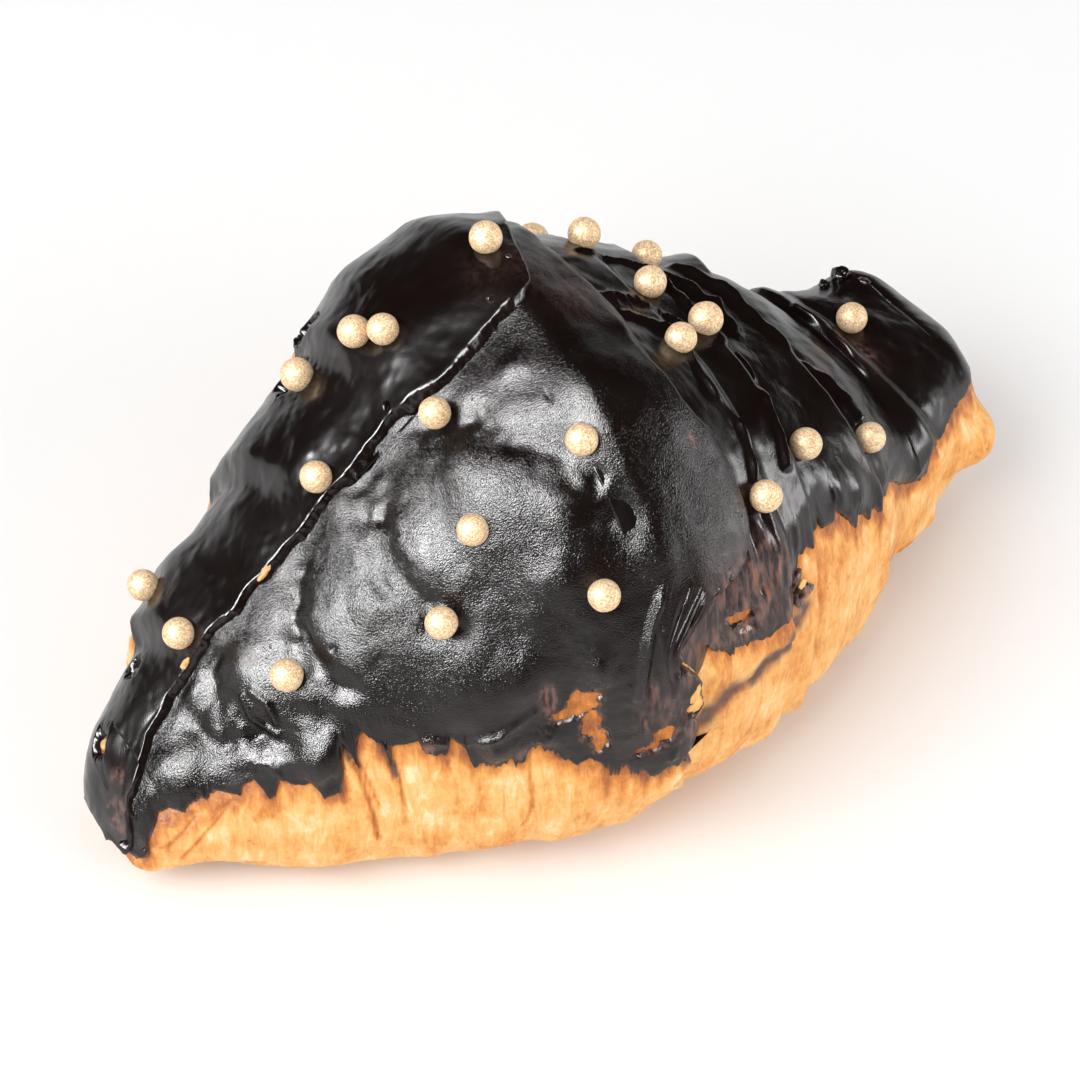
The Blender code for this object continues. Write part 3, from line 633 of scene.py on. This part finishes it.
# ---- Chocolate -------------------------------------------------------------
LIP, LIP_WIDTH, TUCK = 0.60 * MM, 0.55 * MM, 0.35 * MM
BODY, BODY_WIDTH = 0.75 * MM, 8.0 * MM
RIM, RIM_FALL, RIM_DROP = 1.5 * MM, 6.0 * MM, 0.45 * MM    # raised rim of the back sheet
THIN_AT_EDGE = {"front": 0.75, "right": 0.55, "back": 0.1}
GRAIN = {"front": 1.0, "right": 0.25, "back": 0.15}
COAT_WAVES = ((0.20, 8.0, 41), (0.07, 3.5, 42))   # height, width in mm, seed
BACK_WAVES = ((0.3, 11.0, 44),)


def bare_cover(skin, cover):
    """The distance from the chocolate's edges, with its bare spots as edges too."""
    rough = MM * (0.5 * lattice_noise(skin.base, 1.3 * MM, 31)
                  + 0.35 * lattice_noise(skin.base, 0.6 * MM, 32))
    cover = cover - 0.8 * np.abs(rough) * np.exp(-np.abs(cover) / MM)
    for along, turn, half_width, half_height in BARE_SPOTS:
        right, up = skin.from_spot(along, turn)
        ring = np.hypot(right / (half_width * MM), up / (half_height * MM)) - 1.0
        cover = np.minimum(cover, ring * min(half_width, half_height) * MM + rough)
    return cover


def line_relief(skin, lines):
    """Ridges of given heights along lines."""
    total = np.zeros_like(skin.along)
    wavy = 1.0 + 0.45 * lattice_noise(skin.base, 2.5 * MM, 43)
    for height, half_width, line in lines:
        total += height * MM * wavy * hill(skin.from_line(line), 0.0, half_width * MM)
    return total


def coat_relief(skin, cover, sheet):
    """Waves, bulges, ridges and pits of a sheet of chocolate."""
    total = waves(skin.base, COAT_WAVES)
    if sheet == "back":
        total += waves(skin.base, BACK_WAVES)
        return total + RIM * np.exp(-np.maximum(cover, 0.0) / RIM_FALL) - RIM_DROP
    for along, turn, half_width, half_height, height in BULGES:
        total += height * MM * skin.spot(along, turn, half_width, half_height)
    for along, turn, half_width, half_height, depth in PITS:
        total -= depth * MM * skin.spot(along, turn, half_width, half_height)
    if sheet == "front":
        return total + line_relief(skin, RIDGES) - line_relief(skin, VALLEYS)
    upright = 0.75 * MM * layered_noise(skin.flat, (0.9 * MM, 7.0 * MM), 45, 2)
    return total + line_relief(skin, LAYER_LINES) + upright * np.minimum(
        1.6 * skin.spot(*ROUGH_SPOT), 1.0)


def coat_height(skin, cover, sheet):
    """Top of the chocolate over the plain roll; below the crust where it is bare."""
    inward = np.clip(cover / LIP_WIDTH, 0.0, 1.0)
    lip = (LIP + TUCK) * np.sqrt(1.0 - (1.0 - inward) ** 2) - TUCK
    body = BODY * smooth(cover / BODY_WIDTH)
    sunk = 0.8 * MM * smooth(-cover / (0.4 * MM))
    height = skin.layers(COAT_POOL, sheet) + crust_lumps(skin) + CRUST_LIFT
    ease = smooth(cover / ((0.8 if sheet == "back" else 2.5) * MM))
    return height + lip + body - sunk + coat_relief(skin, cover, sheet) * ease


def coat_values(skin, cover, sheet):
    """Where the chocolate is thin, matt and grainy."""
    patchy = lattice_noise(skin.flat, (1.3 * MM, 5.0 * MM), 95)
    thin = THIN_AT_EDGE[sheet] * (1.0 - smooth(cover / (0.9 * MM)))
    for along, turn, half_width, half_height, share in THIN_SPOTS:
        spot = np.minimum(1.5 * skin.spot(along, turn, half_width, half_height), 1.0)
        thin = np.maximum(thin, share * spot * (0.72 + 0.45 * patchy))
    low = 1.0 - smooth((cover - 2.0 * MM) / (5.0 * MM))
    low = low * (1.0 - smooth((skin.turn - 35.0) / 15.0))
    matt = low * smooth(0.6 + 1.1 * lattice_noise(skin.base, 6.0 * MM, 97))
    grain = GRAIN[sheet] * (1.0 - 0.85 * matt)
    grain = grain * (0.75 + 0.25 * lattice_noise(skin.base, 6.0 * MM, 98))
    return {"thin": np.clip(thin, 0.0, 1.0), "matt": matt, "grain": grain}


# ---- Meshes ----------------------------------------------------------------
HIDDEN_ROWS = 0.06        # share of a sheet's rows that run back inside the crust
HIDDEN_DEPTH = 4.0 * MM
LOW_CROWD = 1.35          # crowds a sheet's rows towards its lower edge
FIRST_TURN, ROUNDS = 45.0, 8              # start and rounds of the search for a sheet's turn
CROWDED = 0.1             # share of a piece's columns that are crowded at a tip
CROWD_END, BACK_CROWD_END = -0.92, -0.90  # along where the crowded columns end
CRUST_ROW_SHARES = (0, 0.08, 0.60, 0.68, 0.94, 1)
CRUST_ROW_TURNS = (-90, -55, 45, 130, 230, 270)
FRONT_LEFT, FRONT_RIGHT = -0.94, 0.12     # along between which the front's columns are even
FRONT_TOP = ((-0.10, 91.5), (-0.03, 100.0), (0.03, 150.0))    # along, turn of its upper end
RIGHT_START, BACK_END = 0.05, 0.07        # along where these sheets start and end
BALL_ROUNDS = 4           # times that a ball's faces are split
PEARL_LUMPS, CRUMB_LUMPS = 0.018, 0.30    # how far out of round, as a share


def grid_mesh(name, columns, rows, shape_points):
    """A grid wrapped into a closed body: equal points merge, open ends are filled."""
    shape = bmesh.new()
    bmesh.ops.create_grid(shape, x_segments=columns, y_segments=rows, size=0.5)
    mesh = bpy.data.meshes.new(name)
    shape.to_mesh(mesh)
    shape.free()
    spots = np.empty(len(mesh.vertices) * 3)
    mesh.vertices.foreach_get("co", spots)
    spots = np.round(spots.reshape(-1, 3) + 0.5, 7)
    points, values = shape_points(spots[:, 0], spots[:, 1])
    mesh.vertices.foreach_set("co", points.ravel())
    for label, value in values.items():
        mesh.attributes.new(label, "FLOAT", "POINT").data.foreach_set("value", value)
    shape = bmesh.new()
    shape.from_mesh(mesh)
    bmesh.ops.remove_doubles(shape, verts=shape.verts[:], dist=2e-6)
    rim = [edge for edge in shape.edges if edge.is_boundary]
    if rim:
        bmesh.ops.holes_fill(shape, edges=rim, sides=0)
    shape.to_mesh(mesh)
    shape.free()
    mesh.shade_smooth()
    return mesh


def smooth_mesh(name, shape):
    """A smooth mesh from a finished bmesh."""
    mesh = bpy.data.meshes.new(name)
    shape.to_mesh(mesh)
    shape.free()
    mesh.shade_smooth()
    return mesh


def add_piece(name, mesh, material, node):
    """Makes a finished piece of the part."""
    mesh.materials.append(material)
    piece = bpy.data.objects.new(name, mesh)
    bpy.context.scene.collection.objects.link(piece)
    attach(piece, "root")
    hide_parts(node)


def centre_shift():
    """From the roll's own place to where the CAD part stands."""
    along, turn = np.meshgrid(np.linspace(-1, 1, 401), np.arange(0.0, 360.0, 1.5))
    skin = Skin(along, turn)
    points = skin.place(skin.layers(0.0, "crust"))
    low, high = points.min(axis=(0, 1)), points.max(axis=(0, 1))
    cad_low, cad_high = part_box("croissant")
    middle = (np.array(cad_low) + np.array(cad_high)) / 2.0
    shift = middle - (low + high) / 2.0
    return np.array([shift[0], shift[1], 0.0])


SHIFT = centre_shift()


def tip_crowd(share, tip, inner):
    """Along for each share of a piece's length, with columns crowded at the left tip."""
    return np.where(share < CROWDED, -1.0 + (tip + 1.0) * (share / CROWDED) ** 2,
                    tip + (inner - tip) * (share - CROWDED) / (1.0 - CROWDED))


def crust_points(across, up):
    """The crust's points from shares of its length and girth."""
    left = tip_crowd(across, CROWD_END, 1.0)
    right = -tip_crowd(1.0 - across, CROWD_END, 1.0)
    middle = tip_crowd(0.5, CROWD_END, 1.0)
    along = np.where(across < 0.5, left - middle * across / 0.5,
                     right + middle * (1.0 - across) / 0.5)
    turn = np.interp(up, CRUST_ROW_SHARES, CRUST_ROW_TURNS)
    skin = Skin(along, turn)
    return skin.place(crust_height(skin)) + SHIFT, crust_values(skin)


def sheet_points(along_at, low_at, high_at, cover_at, sheet, across, up):
    """A sheet's points: its outside, then the hidden way back under the crust."""
    outside = np.clip(up / (1.0 - HIDDEN_ROWS), 0.0, 1.0)
    hidden = np.clip((up - 1.0 + HIDDEN_ROWS) / HIDDEN_ROWS, 0.0, 1.0)
    turn = np.full_like(across, FIRST_TURN)
    for _ in range(ROUNDS):
        along = along_at(across, turn)
        low, high = low_at(along), high_at(along)
        turn = low + (high - low) * outside ** LOW_CROWD
    skin = Skin(along, turn)
    cover = bare_cover(skin, cover_at(skin))
    height = coat_height(skin, cover, sheet)
    outer = skin.place(height)
    inner_skin = Skin(along, turn + (low + 360.0 - turn) * smooth((hidden - 0.12) / 0.76))
    dive = smooth(hidden / 0.15) * smooth((1.0 - hidden) / 0.12)
    inner = inner_skin.place(inner_skin.layers(0.0, "crust") - TUCK - HIDDEN_DEPTH * dive)
    share = smooth(6.0 * hidden)[..., None] * (hidden < 1.0)[..., None]
    back_home = (hidden >= 1.0)[..., None]
    points = outer * (1.0 - share) + inner * share
    start = Skin(along, low)
    start_height = coat_height(start, bare_cover(start, cover_at(start)), sheet)
    points = np.where(back_home, start.place(start_height), points)
    return points + SHIFT, coat_values(skin, cover, sheet)


def front_points(across, up):
    """The front sheet, from under the seam at the left tip to its end on the right arm."""
    def along_at(share, turn):
        left, right = read_line(LEFT_END, turn), flap_end(turn)
        middle = FRONT_LEFT + (FRONT_RIGHT - FRONT_LEFT) * share
        from_left = (left - FRONT_LEFT) * (1.0 - share) ** 10
        return middle + from_left + (right - FRONT_RIGHT) * share ** 8

    def high_at(along):
        return read_line(FRONT_TOP, along)

    def cover_at(skin):
        return np.minimum(skin.above(front_low), skin.before(flap_end))

    return sheet_points(along_at, front_low, high_at, cover_at, "front", across, up)


def right_points(across, up):
    """The chocolate on the right arm, all the way over the crest."""
    def along_at(share, turn):
        return -tip_crowd(1.0 - share, CROWD_END, RIGHT_START)

    def cover_at(skin):
        rear = (back_low(skin.along) - skin.turn) * skin.per_degree
        cover = np.minimum(skin.above(right_low), rear)
        return cover * skin.off_tip - MM * (1.0 - skin.off_tip)

    return sheet_points(along_at, right_low, back_low, cover_at, "right", across, up)


def back_points(across, up):
    """The sheet behind the seam, wrapped round the left tip."""
    def end_line(turn):
        lean = np.clip((wrap(turn) - SEAM_TURN) / SEAM_LEAN_TURN, 0.0, 1.0)
        return SEAM_END + SEAM_END_LEAN * lean

    def along_at(share, turn):
        even = tip_crowd(share, BACK_CROWD_END, BACK_END)
        return even + (end_line(turn) - BACK_END) * share ** 8

    def cover_at(skin):
        rear = (back_low(skin.along) - skin.turn) * skin.per_degree
        end = (end_line(skin.turn) - skin.along) * skin.reach
        cover = np.minimum(np.minimum(skin.above(seam_turn), rear), end)
        return cover * skin.off_tip + 3.0 * MM * (1.0 - skin.off_tip)

    return sheet_points(along_at, seam_turn, back_low, cover_at, "back", across, up)


def pearl_seats():
    """Where the pearls lie: those of the front as listed, those of the back by a rule."""
    draw = random.Random(SEED)
    seats = list(PEARL_PLACES)
    taken = [roll_point(np.array(along), np.array(turn)) for along, turn in seats]
    for _ in range(BACK_PEARL_TRIES):
        along = draw.uniform(*BACK_PEARL_ALONG)
        lowest = float(back_edge(along)) - BACK_PEARL_RIM
        turn = draw.uniform(BACK_PEARL_TURN, lowest)
        here = roll_point(np.array(along), np.array(turn))
        clear = min(np.linalg.norm(here - other) for other in taken)
        if clear > BACK_PEARL_SPACE:
            seats.append((along, turn))
            taken.append(here)
    sizes = [PEARL * (1.0 + draw.uniform(-1.0, 1.0) * PEARL_SIZES) for _ in seats]
    return seats, sizes


def add_ball(shape, radius):
    """Adds a ball to a bmesh; gives its vertices and where they are."""
    ball = bmesh.ops.create_icosphere(shape, subdivisions=BALL_ROUNDS, radius=radius)["verts"]
    return ball, np.array([point.co for point in ball])


def move_ball(ball, spots):
    """Moves a ball's vertices."""
    for point, spot in zip(ball, spots):
        point.co = spot


def pearl_mesh():
    """All the pearls in one mesh, each a little out of round."""
    shape = bmesh.new()
    seats, sizes = pearl_seats()
    for (along, turn), size in zip(seats, sizes):
        skin = Skin(np.array([along]), np.array([turn]))
        stand = GAP + COAT + size * (0.5 - PEARL_SINK)
        layers = relief(skin.along, skin.turn, COAT_POOL) * skin.clear
        centre = (skin.place(layers + swelling(skin.along, skin.turn) + stand) + SHIFT)[0]
        ball, ways = add_ball(shape, size / 2.0)
        lumpy = 1.0 + PEARL_LUMPS * lattice_noise(ways + centre, 1.1 * MM, 101)
        move_ball(ball, centre + ways * lumpy[:, None])
    return smooth_mesh("sugar_pearls", shape)


def crumb_mesh(name, table):
    """Crumbs or flakes stuck to the chocolate: small broken lumps."""
    shape = bmesh.new()
    thin = []
    for number, (along, turn, lift, length, width, height, tilt, share) in enumerate(table):
        skin = Skin(np.array([along]), np.array([turn]))
        stand = skin.layers(COAT_POOL, "crust") + lift * MM
        centre = (skin.place(stand) + SHIFT)[0]
        up = Vector(skin.normal[0])
        tilted = Matrix.Rotation(math.radians(tilt), 3, "Z")
        turned = up.to_track_quat("Z", "X").to_matrix() @ tilted
        lump, ways = add_ball(shape, 1.0)
        broken = 1.0 + CRUMB_LUMPS * layered_noise(ways, 0.9, 111 + number, 3)
        sizes = np.array([length, width, height]) * MM
        move_ball(lump, (ways * broken[:, None] * sizes) @ np.array(turned).T + centre)
        thin += [share] * len(lump)
    mesh = smooth_mesh(name, shape)
    mesh.attributes.new("thin", "FLOAT", "POINT").data.foreach_set("value", thin)
    return mesh


# ---- Materials -------------------------------------------------------------
class Look:
    """A material and the nodes that feed its Principled shader."""

    def __init__(self, name):
        self.material = bpy.data.materials.new(name)
        self.material.use_nodes = True
        self.tree = self.material.node_tree

    def fill(self, node, values):
        """Gives a node's inputs a number, a colour or another node's output."""
        for name, value in values.items():
            if isinstance(value, bpy.types.NodeSocket):
                self.tree.links.new(value, node.inputs[name])
            else:
                node.inputs[name].default_value = value

    def add(self, kind, **values):
        """A node; each value is one of its settings or of its inputs."""
        node = self.tree.nodes.new("ShaderNode" + kind)
        for name in [name for name in values if hasattr(node, name)]:
            setattr(node, name, values.pop(name))
        self.fill(node, values)
        return node

    def surface(self, **values):
        """Fills the shader's own inputs, with an underscore for each space in a name."""
        shader = self.tree.nodes["Principled BSDF"]
        self.fill(shader, {name.replace("_", " "): value for name, value in values.items()})
        return self.material

    def place(self, *stretch):
        """Object coordinates, stretched."""
        spot = self.add("TexCoord").outputs["Object"]
        return self.add("Mapping", Vector=spot, Scale=stretch or (1.0, 1.0, 1.0)).outputs["Vector"]

    def attribute(self, name):
        """A value that the mesh carries."""
        return self.add("Attribute", attribute_name=name).outputs["Fac"]

    def noise(self, place, scale, detail, **values):
        """Cloudy values between 0 and 1."""
        node = self.add("TexNoise", Vector=place, Scale=scale, Detail=detail, **values)
        return node.outputs["Fac"]

    def cells(self, place, scale, output):
        """Distance or colour of small cells."""
        return self.add("TexVoronoi", Vector=place, Scale=scale).outputs[output]

    def ramp(self, source, *stops):
        """A colour ramp from (position, colour) stops."""
        node = self.add("ValToRGB", Fac=source)
        elements = node.color_ramp.elements
        while len(elements) < len(stops):
            elements.new(0.5)
        for element, (position, colour) in zip(elements, stops):
            element.position = position
            element.color = (*colour, 1.0)
        return node.outputs["Color"]

    def spread(self, source, *ends):
        """A value moved from one range to another: low, high, new low, new high."""
        node = self.add("MapRange", Value=source)
        self.fill(node, dict(zip(("From Min", "From Max", "To Min", "To Max"), ends)))
        return node.outputs["Result"]

    def combine(self, operation, *sources):
        """A Math node over outputs or numbers."""
        node = self.add("Math", operation=operation)
        self.fill(node, dict(enumerate(sources)))
        return node.outputs["Value"]

    def tint(self, colour, other, share):
        """A colour blended towards another by a share."""
        node = self.add("Mix", data_type="RGBA")
        self.fill(node, {"Factor": share, "A": colour, "B": (*other, 1.0)})
        return node.outputs["Result"]

    def bump(self, height, distance, strength, **under):
        """A bump of a given depth, over another one where `Normal` names it."""
        node = self.add("Bump", Height=height, Distance=distance, Strength=strength, **under)
        return node.outputs["Normal"]


def chocolate_material():
    """Dark chocolate: satin, pebbled by fine bubbles, brown where it is thin."""
    look = Look("dark_chocolate")
    place, grain = look.place(), look.attribute("grain")
    streaks = look.spread(look.noise(look.place(1300.0, 900.0, 260.0), 1.0, 4.0),
                          0.38, 0.62, 0.30, 1.15)
    veil = look.combine("MULTIPLY", look.attribute("thin"), streaks)
    satin = look.spread(look.noise(place, 90.0, 3.0), 0.35, 0.65, 0.19, 0.27)
    pebbled = look.bump(look.noise(place, 4300.0, 1.0), 0.00015, grain)
    craters = look.spread(look.cells(place, 520.0, "Distance"), 0.02, 0.16, 0.0, 1.0)
    return look.surface(
        Base_Color=look.ramp(
            veil, (0.0, (0.0060, 0.0026, 0.0020)), (0.30, (0.030, 0.016, 0.013)),
            (0.65, (0.12, 0.062, 0.050)), (1.0, (0.25, 0.080, 0.042))),
        Roughness=look.combine("MULTIPLY_ADD", look.attribute("matt"), 0.16, satin),
        Specular_IOR_Level=0.36,
        Normal=look.bump(craters, 0.00008, grain, Normal=pebbled))


def crust_material():
    """Baked crust: golden, darker near the chocolate, with painted shade in its cracks and fine
    fibres.
    """
    look = Look("golden_crust")
    place = look.place()
    blotch = look.noise(place, 120.0, 7.0, Roughness=0.68)
    fibres = look.noise(look.place(900.0, 600.0, 220.0), 1.0, 5.0, Roughness=0.62, Distortion=0.8)
    tone = look.combine("MULTIPLY_ADD", fibres, 0.75, blotch)
    # Darker tone near the chocolate and in blotches, and painted shade in the cracks.
    tone = look.combine("MULTIPLY_ADD", look.attribute("dark_tone_and_crack_shade"), 0.46, tone)
    golden = look.ramp(
        look.spread(tone, 0.60, 1.42, 0.0, 1.0),
        (0.0, (0.92, 0.70, 0.42)), (0.22, (0.87, 0.50, 0.18)), (0.45, (0.79, 0.35, 0.080)),
        (0.70, (0.58, 0.19, 0.030)), (1.0, (0.26, 0.070, 0.018)))
    speck = look.combine(
        "MULTIPLY", look.spread(look.cells(place, 620.0, "Distance"), 0.10, 0.26, 1.0, 0.0),
        look.spread(look.noise(place, 120.0, 2.0), 0.52, 0.66, 0.0, 0.65))
    freckled = look.tint(golden, (0.45, 0.17, 0.05), speck)
    normal = look.bump(look.noise(place, 1500.0, 4.0), 0.00022, 0.7)
    normal = look.bump(fibres, 0.00040, 0.7, Normal=normal)
    return look.surface(
        Base_Color=look.tint(freckled, (0.14, 0.068, 0.050), look.attribute("smear")),
        Roughness=0.52, Specular_IOR_Level=0.35, Subsurface_Weight=0.12,
        Subsurface_Radius=(1.0, 0.5, 0.25), Subsurface_Scale=0.002,
        Normal=look.bump(blotch, 0.00060, 0.5, Normal=normal))


def pearl_material():
    """Sugar shell with a champagne gold shimmer and fine glitter."""
    look = Look("sugar_pearl")
    tone = look.add("SeparateColor", Color=look.cells(look.place(), 5200.0, "Color")).outputs
    return look.surface(
        Base_Color=look.ramp(tone["Red"], (0.0, (0.56, 0.32, 0.14)),
                             (0.5, (0.82, 0.56, 0.32)), (1.0, (1.0, 0.82, 0.58))),
        Metallic=0.15, Specular_IOR_Level=0.35,
        Roughness=look.spread(tone["Blue"], 0.0, 1.0, 0.42, 0.62),
        Normal=look.bump(tone["Green"], 0.00006, 0.7))


# ---- Pieces ----------------------------------------------------------------
CRUST_COLUMNS, CRUST_ROWS = 440, 210
SHEETS = (                # columns, rows, points
    ("front_sheet", 440, 220, front_points),
    ("right_sheet", 330, 240, right_points),
    ("back_sheet", 380, 170, back_points),
)

chocolate, baked = chocolate_material(), crust_material()
add_piece("crust", grid_mesh("crust", CRUST_COLUMNS, CRUST_ROWS, crust_points),
          baked, "croissant")
add_piece("flakes", crumb_mesh("flakes", FLAKES), baked, "croissant")
for name, columns, rows, shape_points in SHEETS:
    add_piece(name, grid_mesh(name, columns, rows, shape_points),
              chocolate, "chocolate_coat")
add_piece("crumbs", crumb_mesh("crumbs", CRUMBS), chocolate, "chocolate_coat")
add_piece("sugar_pearls", pearl_mesh(), pearl_material(), "chocolate_coat")


# ---- Camera, floor and light -----------------------------------------------
VIEW_TURN, VIEW_RISE = -31.2, 48.2        # degrees
VIEW_DISTANCE = 0.64
PIXELS_PER_METRE = 6425.0                 # at the target, in a 1080 pixel frame
TARGET = Vector((0.0, 0.0, 0.032))
TARGET_RIGHT, TARGET_DOWN = 15.8, -7.5    # pixels from the middle to where it appears
FRAME_PIXELS, SENSOR = 1080.0, 36.0


def view_axes(turn, rise):
    """Right, up and back directions of a camera."""
    a, e = math.radians(turn), math.radians(rise)
    back = Vector((math.sin(a) * math.cos(e), -math.cos(a) * math.cos(e), math.sin(e)))
    right = Vector((math.cos(a), math.sin(a), 0.0))
    return right, back.cross(right), back


def make_camera():
    """The camera at the photograph's viewing angle."""
    right, up, back = view_axes(VIEW_TURN, VIEW_RISE)
    aim = TARGET - right * (TARGET_RIGHT / PIXELS_PER_METRE)
    aim = aim + up * (TARGET_DOWN / PIXELS_PER_METRE)
    data = bpy.data.cameras.new("camera")
    data.sensor_width = SENSOR
    data.lens = PIXELS_PER_METRE * VIEW_DISTANCE / FRAME_PIXELS * SENSOR
    data.clip_start = 0.01
    camera = bpy.data.objects.new("camera", data)
    turned = Matrix((right, up, back)).transposed().to_4x4()
    camera.matrix_world = Matrix.Translation(aim + back * VIEW_DISTANCE) @ turned
    bpy.context.scene.collection.objects.link(camera)
    bpy.context.scene.camera = camera


def make_light(name, turn, rise, distance, width, height, power, mirrored):
    """A soft panel that faces the croissant, either mirrored in it or lighting it."""
    back = view_axes(turn, rise)[2]
    data = bpy.data.lights.new(name, "AREA")
    data.shape = "RECTANGLE"
    data.size, data.size_y = width, height
    data.energy = power
    lamp = bpy.data.objects.new(name, data)
    lamp.location = TARGET + back * distance
    lamp.rotation_euler = back.to_track_quat("Z", "Y").to_euler()
    lamp.visible_glossy = mirrored
    lamp.visible_diffuse = not mirrored
    bpy.context.scene.collection.objects.link(lamp)


def make_surround():
    """A pale studio that is dark in reflections, so that the chocolate looks dark."""
    world = bpy.data.worlds.new("studio")
    world.use_nodes = True
    bpy.context.scene.world = world
    nodes, link = world.node_tree.nodes, world.node_tree.links.new
    rays = nodes.new("ShaderNodeLightPath")
    blend = nodes.new("ShaderNodeMix")
    blend.data_type = "RGBA"
    blend.inputs["A"].default_value = (0.70, 0.70, 0.70, 1.0)
    blend.inputs["B"].default_value = (0.020, 0.019, 0.018, 1.0)
    link(rays.outputs["Is Glossy Ray"], blend.inputs["Factor"])
    link(blend.outputs["Result"], nodes["Background"].inputs["Color"])
    nodes["Background"].inputs["Strength"].default_value = 1.0


def make_floor():
    """A plain pale floor."""
    shape = bmesh.new()
    bmesh.ops.create_grid(shape, x_segments=1, y_segments=1, size=2.0)
    mesh = smooth_mesh("floor", shape)
    mesh.materials.append(Look("pale_floor").surface(
        Base_Color=(0.84, 0.84, 0.84, 1.0), Roughness=0.8))
    floor = bpy.data.objects.new("floor", mesh)
    bpy.context.scene.collection.objects.link(floor)


make_camera()
make_light("softbox_shine", -91.0, 36.5, 0.85, 0.70, 0.32, 38.0, mirrored=True)
make_light("crest_shine", -84.0, 63.0, 0.80, 0.36, 0.28, 11.0, mirrored=True)
make_light("right_shine", 58.0, 8.0, 0.80, 0.34, 0.18, 3.2, mirrored=True)
make_light("softbox_light", -75.0, 48.0, 1.0, 0.60, 0.60, 6.0, mirrored=False)
make_light("right_light", 35.0, 22.0, 1.0, 0.60, 0.50, 4.0, mirrored=False)
make_surround()
make_floor()
bpy.context.scene.view_settings.view_transform = "Standard"
